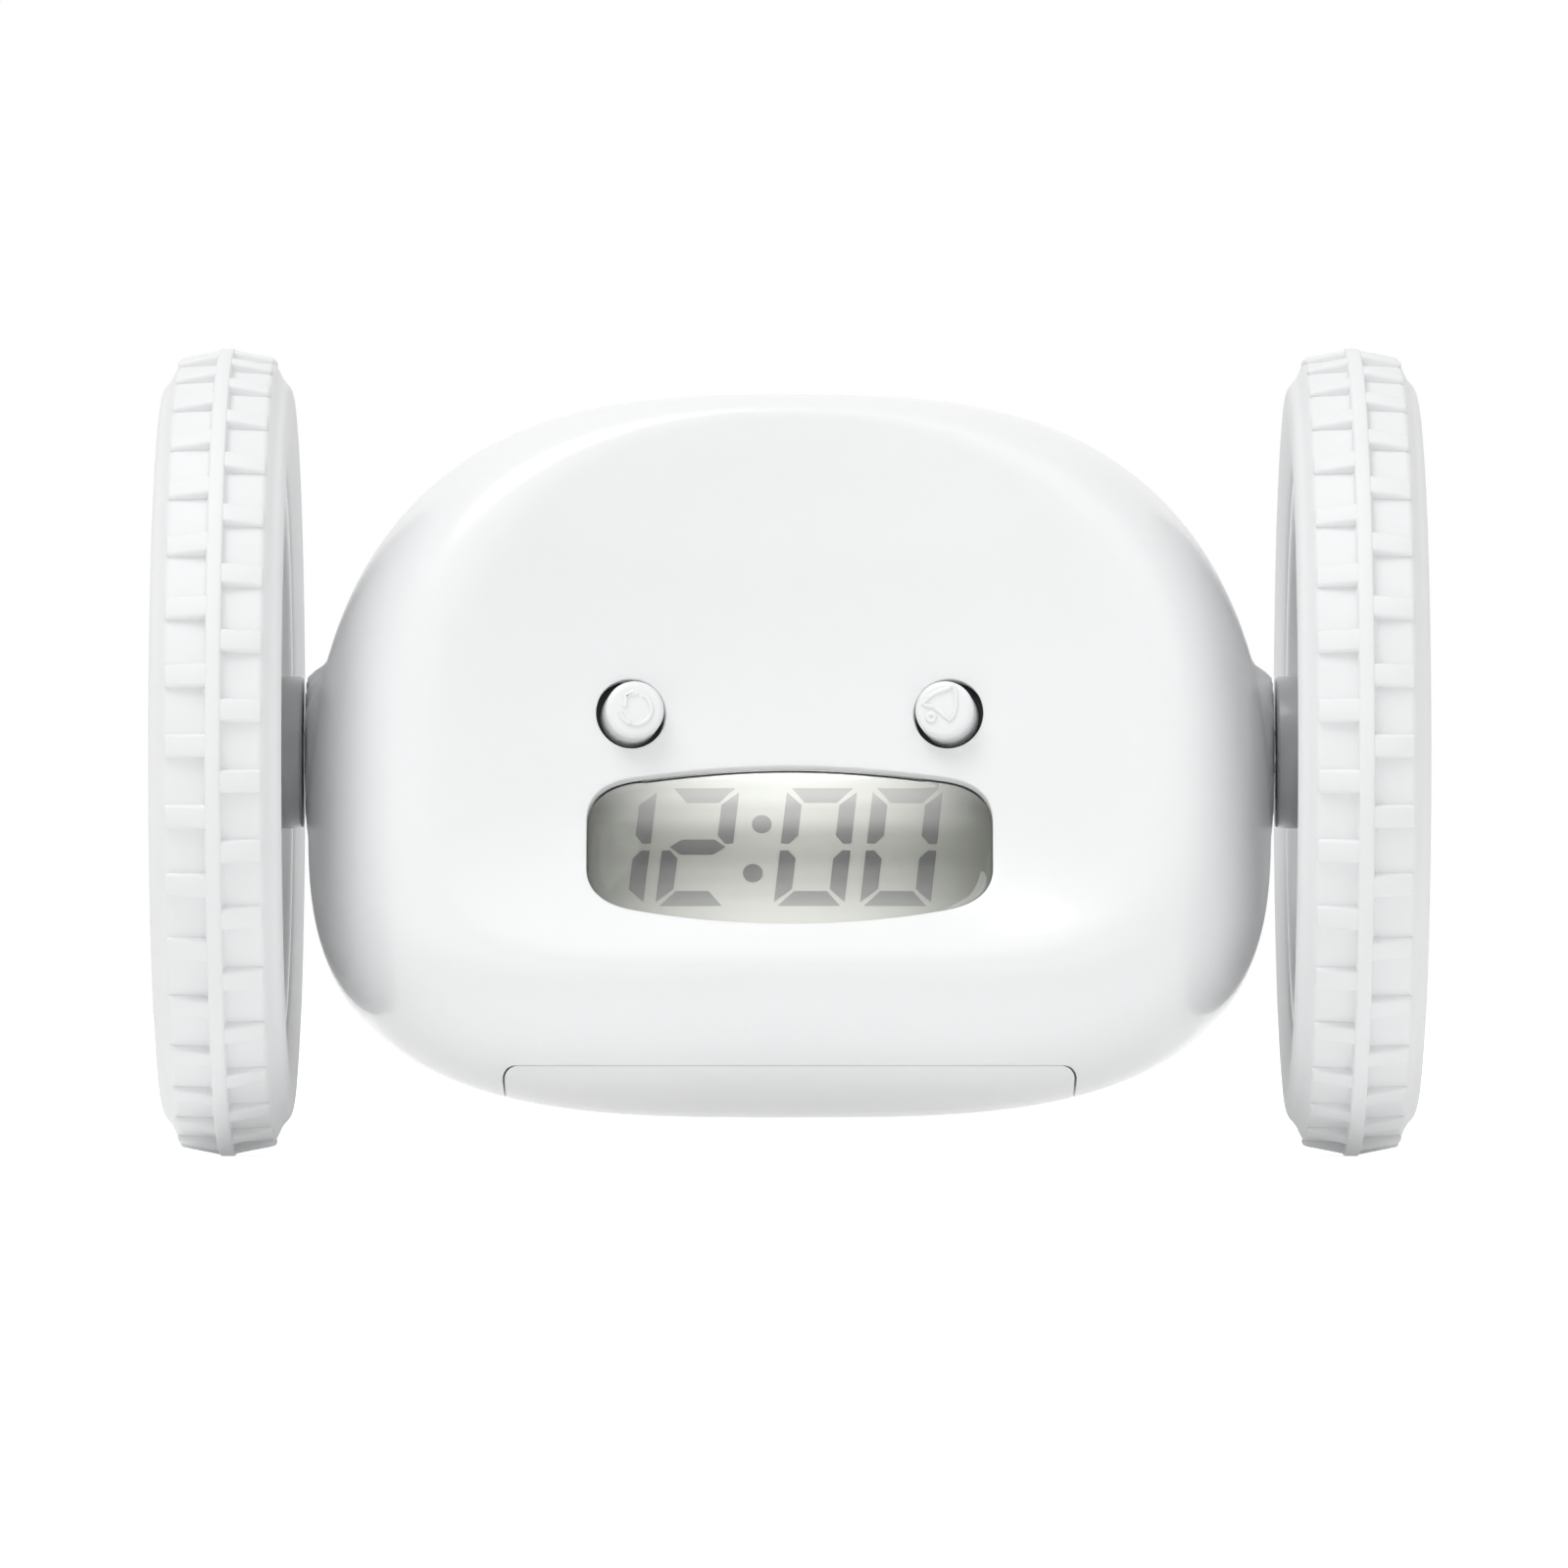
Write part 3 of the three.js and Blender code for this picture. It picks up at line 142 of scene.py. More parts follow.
class ButtonSizes(bpy.types.PropertyGroup):
    place: length("Place", 0.0168, "From the middle to each button")
    height: length("Height", 0.0046, "Height of the buttons on the face")
    cap_radius: length("Cap radius", 0.0031, "Radius of a button")
    hole_radius: length("Hole radius", 0.00372, "Radius of the hole round a button")
    play: length("Play", 0.00015, "How far a button sits off the middle of its hole")
    proud: length("Proud", 0.0026, "How far a button stands out of the face")
    edge: length("Edge", 0.0007, "Rounding of a button's edge")
    relief: length("Relief", 0.00027, "Height of the raised sign on a button")
    flange_radius: length("Flange radius", 0.0049, "Radius of the flange behind the face")
    stem_radius: length("Stem radius", 0.0016, "Radius of the stem that presses the switch")
    lip: length("Lip", 0.00015, "Rounding of the hole's edge")


class DoorSizes(bpy.types.PropertyGroup):
    half_width: length("Half width", 0.0306, "From the middle to the side of the opening")
    top: length("Top", -0.0336, "Height of the opening's front edge above the axle line")
    rear: length("Rear", 0.018, "From the axle line to the opening's rear edge")
    gap: length("Gap", 0.00025, "Gap at the door's sides and rear")
    top_gap: length("Top gap", 0.00003, "Gap along the door's front edge")
    corner: length("Corner", 0.0015, "Rounding of the front corners")


class BackSizes(bpy.types.PropertyGroup):
    key_pitch: length("Key pitch", 0.012, "From one key to the next")
    key_height: length("Key height", 0.006, "Height of the keys above the axle line")
    key_radius: length("Key radius", 0.0033, "Radius of a key")
    key_hole: length("Key hole", 0.0037, "Radius of the hole round a key")
    switch_height: length("Switch height", -0.009, "Height of the run switch above the axle line")
    slot_width: length("Slot width", 0.009, "Width of the switch's slot")
    slot_height: length("Slot height", 0.0036, "Height of the switch's slot")
    screw_seat: length("Screw seat", 0.008, "From the axle line to the screws' seats")
    screw_hole: length("Screw hole", 0.003, "Radius of the hole over a screw")
    screw_boss: length("Screw boss", 0.0042, "Radius of the boss round a screw")


class WheelSizes(bpy.types.PropertyGroup):
    radius: length("Radius", 0.0435, "Radius of the tyre over its centre rib")
    rib_half: length("Rib", 0.0008, "Half the width of the centre rib")
    tread_depth: length("Tread depth", 0.0013, "Depth of the grooves between the lugs")
    tread_half: length("Tread", 0.00505, "Half the width of the tread")
    bead_radius: length("Bead radius", 0.031, "Radius at which the tyre meets the rim")
    lug_length: length("Lug length", 0.0024, "Length of a lug round the tyre")
    lugs: IntProperty(name="Lugs", description="Lugs in each row", default=36, min=8, max=60)


class Colours(bpy.types.PropertyGroup):
    casing: colour("Casing", (0.86, 0.865, 0.87), "Glossy white plastic")
    tyre: colour("Tyre", (0.84, 0.845, 0.85), "White rubber")
    rim: colour("Rim", (0.86, 0.865, 0.87), "White plastic inside the wheels")
    collar: colour("Collar", (0.36, 0.37, 0.38), "Grey plastic round the axles")
    # The light middles and dark ends of the display and the numbers are painted reflection and shade
    display_light: colour("Display light", (0.56, 0.56, 0.52), "Middle of the display")
    display_dark: colour("Display dark", (0.12, 0.125, 0.095), "Ends of the display")
    digit_light: colour("Number light", (0.13, 0.13, 0.13), "Numbers in the middle of the display")
    digit_dark: colour("Number dark", (0.0, 0.0, 0.0), "Numbers at the ends of the display")
    # On the buttons this colour is painted shade, deep in their holes
    dark: colour("Dark plastic", (0.022, 0.023, 0.026), "Switches, the buzzer and the buttons' flanges")
    nylon: colour("Nylon", (0.72, 0.71, 0.66), "Gears, gearboxes and the battery tray")
    board: colour("Board", (0.03, 0.14, 0.06), "Circuit boards")
    steel: colour("Steel", (0.55, 0.56, 0.57), "Axles, motors, screws and contacts")
    brass: colour("Brass", (0.62, 0.43, 0.18), "Bushes and pinions")
    wrap: colour("Cell wrap", (0.11, 0.13, 0.15), "Sleeves of the four cells")
    floor: colour("Floor", (0.9, 0.9, 0.9), "Floor under the clock")


class StageSizes(bpy.types.PropertyGroup):
    distance: length("Distance", 1.502, "From the camera to the clock")
    elevation: angle("Elevation", -0.8, "Height of the camera's view")
    azimuth: angle("Azimuth", 0, "Side of the camera's view")
    lens: FloatProperty(name="Lens", description="Focal length in millimetres", default=320)
    aim_side: length("Aim side", -0.0006, "Side place that the camera looks at")
    aim_drop: length("Aim drop", -0.0034, "Height of the camera's aim above the axle line")


GROUPS = {
    "clock_casing": CasingSizes, "clock_face": FaceSizes, "clock_window": WindowSizes,
    "clock_display": DisplaySizes, "clock_buttons": ButtonSizes, "clock_door": DoorSizes,
    "clock_back": BackSizes, "clock_wheels": WheelSizes, "clock_colours": Colours, "clock_stage": StageSizes,
}


# Choosing, shaping and joining pieces

def choose(*pieces):
    """Deselects everything and chooses these pieces, the last one active."""
    if bpy.context.mode != "OBJECT":
        bpy.ops.object.mode_set(mode="OBJECT")
    bpy.ops.object.select_all(action="DESELECT")
    for piece in pieces:
        piece.select_set(True)
        bpy.context.view_layer.objects.active = piece


@contextlib.contextmanager
def editing(piece, action="SELECT"):
    """Edit mode on one piece; the action is run on its whole mesh first, unless it is None."""
    choose(piece)
    bpy.ops.object.mode_set(mode="EDIT")
    if action:
        bpy.ops.mesh.select_all(action=action)
    yield
    bpy.ops.object.mode_set(mode="OBJECT")


def mark(piece, kind, wanted):
    """Selects only the vertices or edges that pass a test."""
    with editing(piece, "DESELECT"):
        pass
    for element in getattr(piece.data, kind):
        element.select = wanted(element)


def newest(name):
    """The piece that the last operator made, under its name."""
    piece = bpy.context.object
    piece.name = piece.data.name = name
    return piece


def points_of(piece):
    co = np.empty(len(piece.data.vertices) * 3)
    piece.data.vertices.foreach_get("co", co)
    return co.reshape(-1, 3)


def move_points(piece, co):
    piece.data.vertices.foreach_set("co", np.asarray(co, float).ravel())
    piece.data.update()


def place(piece, matrix):
    """Puts a place into the mesh, so that the object stays at the origin."""
    piece.data.transform(matrix @ piece.matrix_world)
    piece.matrix_world = Matrix.Identity(4)
    return piece


def apply_modifier(piece, kind, **settings):
    choose(piece)
    modifier = piece.modifiers.new(kind.title(), kind)
    for key, value in settings.items():
        setattr(modifier, key, value)
    bpy.ops.object.modifier_apply(modifier=modifier.name)


def combine(piece, other, operation):
    """Joins, cuts or trims a piece with another, which is then removed."""
    apply_modifier(piece, "BOOLEAN", operation=operation, solver="MANIFOLD", object=other)
    bpy.data.objects.remove(other)


def join(name, pieces):
    choose(*pieces)
    bpy.ops.object.join()
    return newest(name)


def face_outwards(piece):
    with editing(piece):
        bpy.ops.mesh.remove_doubles(threshold=1e-7)
        bpy.ops.mesh.normals_make_consistent(inside=False)


def smooth(piece, angle=30):
    choose(piece)
    bpy.ops.object.shade_smooth_by_angle(angle=math.radians(angle))


def copy_of(piece, name):
    made = piece.copy()
    made.data = piece.data.copy()
    bpy.context.collection.objects.link(made)
    made.name = made.data.name = name
    return made


def ball_from_rings(name, rings, first, last):
    """A sphere whose rows of points are moved to the given rings, and its poles to the first and last point."""
    rows, count = rings.shape[:2]
    choose()
    bpy.ops.mesh.primitive_uv_sphere_add(segments=count, ring_count=rows + 1, radius=1)
    piece = newest(name)
    co = points_of(piece)
    row = np.rint(np.arccos(np.clip(co[:, 2], -1, 1)) * (rows + 1) / math.pi).astype(int)
    turn = np.rint(np.arctan2(co[:, 1], co[:, 0]) * count / FULL_TURN).astype(int) % count
    moved = rings[np.clip(row - 1, 0, rows - 1), turn]
    moved[row == 0] = first
    moved[row == rows + 1] = last
    move_points(piece, moved)
    face_outwards(piece)
    return piece


def turned(name, profile, steps, roundings=()):
    """A profile of (radius, place) spun about the Z axis; roundings are (corner number, radius, segments)."""
    choose()
    bpy.ops.mesh.primitive_plane_add(size=0.001)
    piece = newest(name)
    with editing(piece):
        bpy.ops.mesh.merge(type="CENTER")
        bpy.ops.transform.translate(value=(profile[0][0], 0, profile[0][1]))
        for before, after in zip(profile, profile[1:]):
            step = (after[0] - before[0], 0, after[1] - before[1])
            bpy.ops.mesh.extrude_vertices_move(TRANSFORM_OT_translate={"value": step})
    if profile[0][0] > 0:
        mark(piece, "vertices", lambda vertex: vertex.index in (0, len(profile) - 1))
        with editing(piece, None):
            bpy.ops.mesh.edge_face_add()
    for corner, radius, segments in roundings:
        round_corner(piece, profile[corner], radius, segments)
    with editing(piece):
        bpy.ops.mesh.spin(steps=steps, angle=FULL_TURN, center=(0, 0, 0), axis=(0, 0, 1))
    face_outwards(piece)
    return piece


def round_corner(piece, corner, radius, segments):
    """Bevels the one point of a profile that lies at a corner."""
    target = np.array([corner[0], 0, corner[1]])
    nearest = int(np.argmin(np.linalg.norm(points_of(piece) - target, axis=1)))
    mark(piece, "vertices", lambda vertex: vertex.index == nearest)
    with editing(piece, None):
        bpy.ops.mesh.bevel(offset=radius, segments=segments, affect="VERTICES", clamp_overlap=True)


def block(name, low, high, edge=0.0, segments=2):
    """A cube at its size and place, with bevelled edges."""
    low, high = Vector(low), Vector(high)
    choose()
    bpy.ops.mesh.primitive_cube_add(size=1, location=(low + high) / 2, scale=high - low)
    piece = place(newest(name), Matrix.Identity(4))
    if edge:
        with editing(piece):
            bpy.ops.mesh.bevel(offset=edge, segments=segments, affect="EDGES")
    return piece


def rod(name, radius, low, high, steps=48):
    """A cylinder between two points."""
    low, high = Vector(low), Vector(high)
    choose()
    bpy.ops.mesh.primitive_cylinder_add(vertices=steps, radius=radius, depth=(high - low).length)
    turn = (high - low).to_track_quat("Z", "Y").to_matrix().to_4x4()
    return place(newest(name), Matrix.Translation((low + high) / 2) @ turn)


def from_lines(name, lines, matrix, **settings):
    """Open or closed lines drawn in a plane, made solid by the curve's settings."""
    data = bpy.data.curves.new(name, "CURVE")
    for key, value in settings.items():
        setattr(data, key, value)
    for points, closed in lines:
        spline = data.splines.new("POLY")
        spline.points.add(len(points) - 1)
        for point, (x, y) in zip(spline.points, points):
            point.co = (x, y, 0, 1)
        spline.use_cyclic_u = closed
    piece = bpy.data.objects.new(name, data)
    bpy.context.collection.objects.link(piece)
    choose(piece)
    bpy.ops.object.convert(target="MESH")
    piece = place(bpy.context.object, matrix)
    face_outwards(piece)
    return piece


def flat_solid(name, loops, thick, matrix):
    """Closed outlines, filled and given a thickness towards the plane's far side."""
    return from_lines(
        name, [(loop, True) for loop in loops], matrix @ Matrix.Translation((0, 0, -thick / 2)),
        dimensions="2D", fill_mode="BOTH", extrude=thick / 2)


def wire(name, strokes, radius, matrix):
    """Round strokes along open or closed lines."""
    return from_lines(
        name, strokes, matrix, dimensions="3D", bevel_depth=radius, bevel_resolution=3, use_fill_caps=True)


# Form of the casing

# How far the front's curves run straight on from the casing's middle and from its ridge: top, sides, bottom
FRONT_HANDLES = {"flank": (0.85, 0.7, 0.5), "ridge": (0.75, 0.68, 0.3)}
# Powers of a loop's width and height, above and below its middle
CASING_POWERS = ((3.0, 2.2), (3.2, 2.9))
FACE_POWERS = ((2.2, 2.2), (4.5, 4.5))
REAR_POWER = 2.5
SEARCH_STEPS = 50
CASING_SEGMENTS = 264
CORNER_PULL = 0.22  # how far the columns of points draw together
# Rows of points from middle to rim, and how they draw together at the ridge, the sides and the back
BOWL_ROWS, BOWL_CROWDING = 34, 1.3
FLANK_ROWS, FLANK_CROWDING = 30, 1.15
REAR_ROWS, REAR_CROWDING = 36, 1.2
NECK_FLAT, NECK_FOOT = 0.0006, 0.0016  # inside and outside the neck's radius
FAR = 0.1  # beyond the casing on every side


def loop_radius(direction, half_width, rise, drop, middle, powers, bowl_middle):
    """Distance from the bowl's middle to a closed loop, in each direction."""
    low = np.zeros_like(direction)
    high = np.full_like(direction, half_width + rise + drop)
    for _ in range(SEARCH_STEPS):
        reach = (low + high) / 2
        x = np.abs(reach * np.cos(direction) / half_width)
        z = bowl_middle + reach * np.sin(direction) - middle
        above = x ** powers[0][0] + np.abs(z / rise) ** powers[0][1]
        below = x ** powers[1][0] + np.abs(z / drop) ** powers[1][1]
        inside = np.where(z > 0, above, below) < 1
        low = np.where(inside, reach, low)
        high = np.where(inside, high, reach)
    return low


def casing_radius(direction, inset=0.0):
    casing = bpy.context.scene.clock_casing
    middle = bpy.context.scene.clock_face.bowl_middle
    return loop_radius(
        direction, casing.half_width - inset, casing.rise - inset, casing.drop - inset,
        casing.middle, CASING_POWERS, middle)


def ridge_radius(direction):
    face = bpy.context.scene.clock_face
    return loop_radius(direction, face.half_width, face.rise, face.drop, 0.0, FACE_POWERS, face.bowl_middle)


def eased(direction, shares):
    """A share that eases between its values at the top, the sides and the bottom."""
    upright = np.sin(direction) ** 2
    end = np.where(np.sin(direction) > 0, shares[0], shares[2])
    return shares[1] * (1 - upright) + end * upright


def bowl_depth(share, radius):
    face = bpy.context.scene.clock_face
    softness = 4 * face.bowl_depth * face.ridge_radius / radius
    run = radius * (1 - share ** 4) / 4
    rounding = run / (run + softness) * (1 + 4 * softness / radius)
    return face.bowl_depth * (1 - share ** 2) * rounding


def under_face(x, z, depth):
    """Points at a depth below the ridge's tilted plane."""
    face = bpy.context.scene.clock_face
    y = z * math.tan(face.tilt) - face.reach + depth * math.cos(face.tilt)
    return np.stack([x + 0 * y, y, z - depth * math.sin(face.tilt)], -1)


def bowl_points(direction, share, inset=0.0):
    middle = bpy.context.scene.clock_face.bowl_middle
    radius = ridge_radius(direction)
    x = radius * share * np.cos(direction)
    z = middle + radius * share * np.sin(direction)
    return under_face(x, z, bowl_depth(share, radius) + inset)


def flank_points(direction, share, inset=0.0):
    face = bpy.context.scene.clock_face
    radius = casing_radius(direction, inset)
    start = np.stack([
        radius * np.cos(direction), 0 * direction, face.bowl_middle + radius * np.sin(direction)], -1)
    crest = bowl_points(direction, 1.0, inset)
    outward = start - crest
    outward[:, 1] = outward[:, 2] * math.tan(face.tilt)
    first = start.copy()
    first[:, 1] = crest[:, 1] * eased(direction, FRONT_HANDLES["flank"])
    second = crest + outward * eased(direction, FRONT_HANDLES["ridge"])[:, None]
    rest = 1 - share
    return (rest ** 3 * start + 3 * rest ** 2 * share * first
            + 3 * rest * share ** 2 * second + share ** 3 * crest)


def rear_points(direction, share, inset=0.0):
    casing = bpy.context.scene.clock_casing
    middle = bpy.context.scene.clock_face.bowl_middle
    radius = casing_radius(direction, inset) * share
    y = (casing.rear_depth - inset) * (1 - share ** REAR_POWER) ** (1 / REAR_POWER) + 0 * direction
    return np.stack([radius * np.cos(direction), y, middle + radius * np.sin(direction)], -1)


def with_necks(co):
    """Draws the sides out to a round boss about each axle, with a soft fillet."""
    casing = bpy.context.scene.clock_casing
    away = np.hypot(co[:, 1], co[:, 2])
    flat = casing.neck_radius - NECK_FLAT
    foot = casing.neck_radius + NECK_FOOT
    blend = np.clip((foot - away) / (foot - flat), 0, 1)
    blend = blend * blend * (3 - 2 * blend)
    near = np.abs(co[:, 0]) > casing.half_width * 0.8
    target = np.sign(co[:, 0]) * np.maximum(np.abs(co[:, 0]), casing.neck_reach)
    co[:, 0] = np.where(near, co[:, 0] + (target - co[:, 0]) * blend, co[:, 0])
    return co


def casing_form(name, inset=0.0, step=1):
    """The closed form of the casing, set in by a wall or part of one."""
    spread = np.arange(0, CASING_SEGMENTS, step) * FULL_TURN / CASING_SEGMENTS
    direction = spread - CORNER_PULL * np.sin(2 * spread)
    bowl = [1 - (1 - k / BOWL_ROWS) ** BOWL_CROWDING for k in range(1, BOWL_ROWS, step)]
    flank = [(k / FLANK_ROWS) ** FLANK_CROWDING for k in range(0, FLANK_ROWS, step)]
    rear = [
        math.cos(math.pi / 2 * (k / REAR_ROWS) ** REAR_CROWDING) ** (2 / REAR_POWER)
        for k in range(1, REAR_ROWS, step)]
    rings = [bowl_points(direction, share, inset) for share in bowl]
    rings.append(bowl_points(direction, 1.0, inset))
    rings += [flank_points(direction, 1 - share, inset) for share in flank[1:]]
    rings.append(flank_points(direction, 0.0, inset))
    rings += [rear_points(direction, share, inset) for share in rear]
    centre = np.array([math.pi / 2])
    first = bowl_points(centre, 0.0, inset)[0]
    last = rear_points(centre, 0.0, inset)[0]
    piece = ball_from_rings(name, np.array(rings), first, last)
    if not inset:
        move_points(piece, with_necks(points_of(piece)))
    return piece


def slice_off(piece, at, normal, fill=False):
    """Cuts a piece through at a plane and drops what lies on the normal's side."""
    with editing(piece):
        bpy.ops.mesh.bisect(plane_co=at, plane_no=normal, clear_outer=True, use_fill=fill)


def face_share(x, z):
    """How far places on the face lie from the bowl's middle to the ridge, and the ridge's distance there."""
    middle = bpy.context.scene.clock_face.bowl_middle
    radius = ridge_radius(np.arctan2(z - middle, x))
    return np.hypot(x, z - middle) / radius, radius


def face_points(x, z):
    share, radius = face_share(x, z)
    return under_face(x, z, bowl_depth(share, radius))


def face_offset(origin, across, up, inwards, u, v):
    """How far along inwards the face lies from a seat's plane, at places u and v in that plane."""
    face = bpy.context.scene.clock_face
    base = origin + np.outer(u, across) + np.outer(v, up)
    reach = np.zeros(len(base))
    for _ in range(SEARCH_STEPS):
        p = base + reach[:, None] * inwards
        below = (p[:, 1] + face.reach - p[:, 2] * math.tan(face.tilt)) * math.cos(face.tilt)
        z = p[:, 2] + below * math.sin(face.tilt)
        share, radius = face_share(p[:, 0], z)
        reach = reach + bowl_depth(np.minimum(share, 1), radius) - below
    return reach


def rear_offset(origin, across, up, inwards, u, v):
    """The same for the back of the casing, whose seats look along Y."""
    casing = bpy.context.scene.clock_casing
    middle = bpy.context.scene.clock_face.bowl_middle
    base = origin + np.outer(u, across) + np.outer(v, up)
    direction = np.arctan2(base[:, 2] - middle, base[:, 0])
    share = np.minimum(np.hypot(base[:, 0], base[:, 2] - middle) / casing_radius(direction), 0.999)
    y = casing.rear_depth * (1 - share ** REAR_POWER) ** (1 / REAR_POWER)
    return base[:, 1] - y


class Seat:
    """A plane on the casing: its middle, its directions and the form under it."""

    def __init__(self, origin, across, up, inwards, offset):
        self.origin, self.across = np.array(origin, float), np.array(across, float)
        self.up, self.inwards = np.array(up, float), np.array(inwards, float)
        self.offset = offset

    def points(self, outline, depth, on_surface=True):
        u, v = outline[:, 0], outline[:, 1]
        reach = depth
        if on_surface:
            reach = depth + self.offset(self.origin, self.across, self.up, self.inwards, u, v)
        return (self.origin + np.outer(u, self.across) + np.outer(v, self.up)
                + np.outer(np.broadcast_to(reach, u.shape), self.inwards))

    def matrix(self, depth=0.0):
        """Takes X and Y of a drawing to the seat's plane, with Z out of the casing."""
        made = Matrix.Identity(4)
        for column, axis in enumerate((self.across, self.up, -self.inwards)):
            for row in range(3):
                made[row][column] = axis[row]
        for row, value in enumerate(self.origin + depth * self.inwards):
            made[row][3] = value
        return made


def window_seat():
    window = bpy.context.scene.clock_window
    places = np.array([window.place + window.height / 2, window.place - window.height / 2])
    top, bottom = face_points(0 * places, places)
    up = (top - bottom) / np.linalg.norm(top - bottom)
    across = np.array([1.0, 0, 0])
    return Seat((top + bottom) / 2, across, up, -np.cross(across, up), face_offset)


def button_seat(side):
    """The plane that touches the face where a button stands."""
    buttons = bpy.context.scene.clock_buttons
    probe = 0.00002
    x = np.array([0, probe, -probe, 0, 0]) + side * buttons.place
    z = np.array([0, 0, 0, probe, -probe]) + buttons.height
    p = face_points(x, z)
    outward = np.cross(p[1] - p[2], p[3] - p[4])
    outward /= np.linalg.norm(outward)
    across = np.cross(np.array([0, 0, 1.0]), -outward)
    across = -across if across[0] < 0 else across
    across /= np.linalg.norm(across)
    up = np.cross(across, -outward)
    up = -up if up[2] < 0 else up
    return Seat(p[0], across, up, -outward, face_offset)


def rear_seat(x, z):
    return Seat((x, 0, z), (-1, 0, 0), (0, 0, 1), (0, -1, 0), rear_offset)


def circle(radius, count=64):
    turn = np.arange(count) * FULL_TURN / count
    return np.stack([radius * np.cos(turn), radius * np.sin(turn)], -1)


def grown(outline, by):
    """An outline moved outwards along its own normals."""
    along = np.roll(outline, -1, 0) - np.roll(outline, 1, 0)
    normal = np.stack([along[:, 1], -along[:, 0]], -1)
    return outline + by * normal / np.linalg.norm(normal, axis=1)[:, None]


# Rings of a cutter: share of the lip that they stand out by, and share that they lie below the surface
RIM_FLARE = [(1.8, -0.9), (1.4, -0.2)] + [
    (1 - math.sin(a), 1 - math.cos(a)) for a in np.radians([12, 30, 50, 70, 90])]
CUTTER_TIP = 0.002  # above the curved surface


def opening_cutter(name, seat, outline, lip, depth, floor=None):
    """A cutter whose rim flares to a small rounding where it leaves the surface."""
    rings = [seat.points(grown(outline, lip * grow), lip * sink) for grow, sink in RIM_FLARE]
    if floor is None:
        rings.append(seat.points(outline, depth))
    else:
        rings.append(seat.points(outline, floor, on_surface=False))
    rings = np.array(rings)
    top, bottom = rings[0].mean(0), rings[-1].mean(0)
    top = top + (top - bottom) / np.linalg.norm(top - bottom) * CUTTER_TIP
    return ball_from_rings(name, rings, top, bottom)


def quadratic(start, control, end, steps=14):
    share = np.arange(steps)[:, None] / steps
    start, control, end = map(np.array, (start, control, end))
    return (1 - share) ** 2 * start + 2 * share * (1 - share) * control + share ** 2 * end


def straight(start, end, steps=5):
    share = np.arange(steps)[:, None] / steps
    return (1 - share) * np.array(start) + share * np.array(end)


def window_outline(grow=0.0):
    """The window's outline: bowed long edges that run smoothly into round corners and short straight ends."""
    window = bpy.context.scene.clock_window
    half = window.width / 2 + grow
    stretch = 1 / abs(window_seat().up[2])
    middle = (window.height / 2 + grow) * stretch
    end = middle - window.bulge * stretch
    corner = window.corner
    inner = half - corner
    bow = 2 * middle - end
    turn = end - corner * 2 * (middle - end) / inner
    lower = np.concatenate([
        quadratic((-half, corner - end), (-half, -turn), (-inner, -end)),
        quadratic((-inner, -end), (0, -bow), (inner, -end), 26),
        quadratic((inner, -end), (half, -turn), (half, corner - end)),
        straight((half, corner - end), (half, end - corner)),
    ])
    return np.concatenate([lower, -lower])


def door_cutter(name, shrink, top_shrink):
    """A block as wide as the door's opening, open to the front and below, with round upper corners."""
    door = bpy.context.scene.clock_door
    half, top, rear = door.half_width - shrink, door.top - top_shrink, door.rear - shrink
    piece = block(name, (-half, -0.08, -0.08), (half, rear, top))

    def is_upper(edge):
        ends = [piece.data.vertices[i].co for i in edge.vertices]
        return all(abs(p.z - top) < 1e-6 for p in ends) and abs(ends[0].x - ends[1].x) < 1e-6

    with editing(piece, None):
        bpy.ops.mesh.select_mode(type="EDGE")
    mark(piece, "edges", is_upper)
    with editing(piece, None):
        bpy.ops.mesh.bevel(offset=door.corner, segments=8, affect="EDGES")
        bpy.ops.mesh.select_mode(type="VERT")
    return piece


SCREW_PLACES = ((-0.016, 0.029), (0.016, 0.029), (-0.037, -0.019), (0.037, -0.019))
BOSS_END = 0.06  # behind the casing, which trims the bosses
REAR_LIP = 0.0003  # rounding of the openings at the back
KEY_NAMES = ("time_key", "alarm_key", "hour_key", "minute_key")


def key_places():
    pitch = bpy.context.scene.clock_back.key_pitch
    return [(i - 1.5) * pitch for i in range(4)]


# Ends of the bushes' tubes and of the bores through them, from the middle
NECK_TUBE = (0.044, 0.0512)
BORE_RUN = (0.04, 0.06)


def rods_at_sides(name, radius, run):
    return [rod(name, radius, (hand * run[0], 0, 0), (hand * run[1], 0, 0), 64) for hand in (-1, 1)]


def neck_halves(front):
    """The two half tubes inside the casing that carry the bushes."""
    casing = bpy.context.scene.clock_casing
    side = -1 if front else 1
    tubes = rods_at_sides("neck", casing.neck_radius, NECK_TUBE)
    for tube in tubes:
        slice_off(tube, (0, side * casing.seam / 2, 0), (0, -side, 0), fill=True)
    return join("necks", tubes)


def bores():
    return join("bores", rods_at_sides("bore", bpy.context.scene.clock_casing.bore_radius, BORE_RUN))


def half_casing(name, front):
    """The wall of one half: cut from the form beyond the seam, thickened inwards and trimmed flat."""
    casing = bpy.context.scene.clock_casing
    piece = casing_form(name)
    side = -1 if front else 1
    slice_off(piece, (0, -side * casing.wall / 2, 0), (0, -side, 0))
    apply_modifier(piece, "SOLIDIFY", thickness=casing.wall, offset=-1, use_even_offset=True)
    combine(piece, neck_halves(front), "UNION")
    ends = sorted((side * casing.seam / 2, -side * FAR))
    combine(piece, block("beyond", (-FAR, ends[0], -FAR), (FAR, ends[1], FAR)), "DIFFERENCE")
    return piece


def stand_in(piece, node, slot, angle):
    """Smooths a piece and lets it ride on a node's body, in the node's stead and in its own slot and finish."""
    smooth(piece, angle)
    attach(piece, body_of(node))
    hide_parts(node)
    return paint(piece, slot + "_finish")


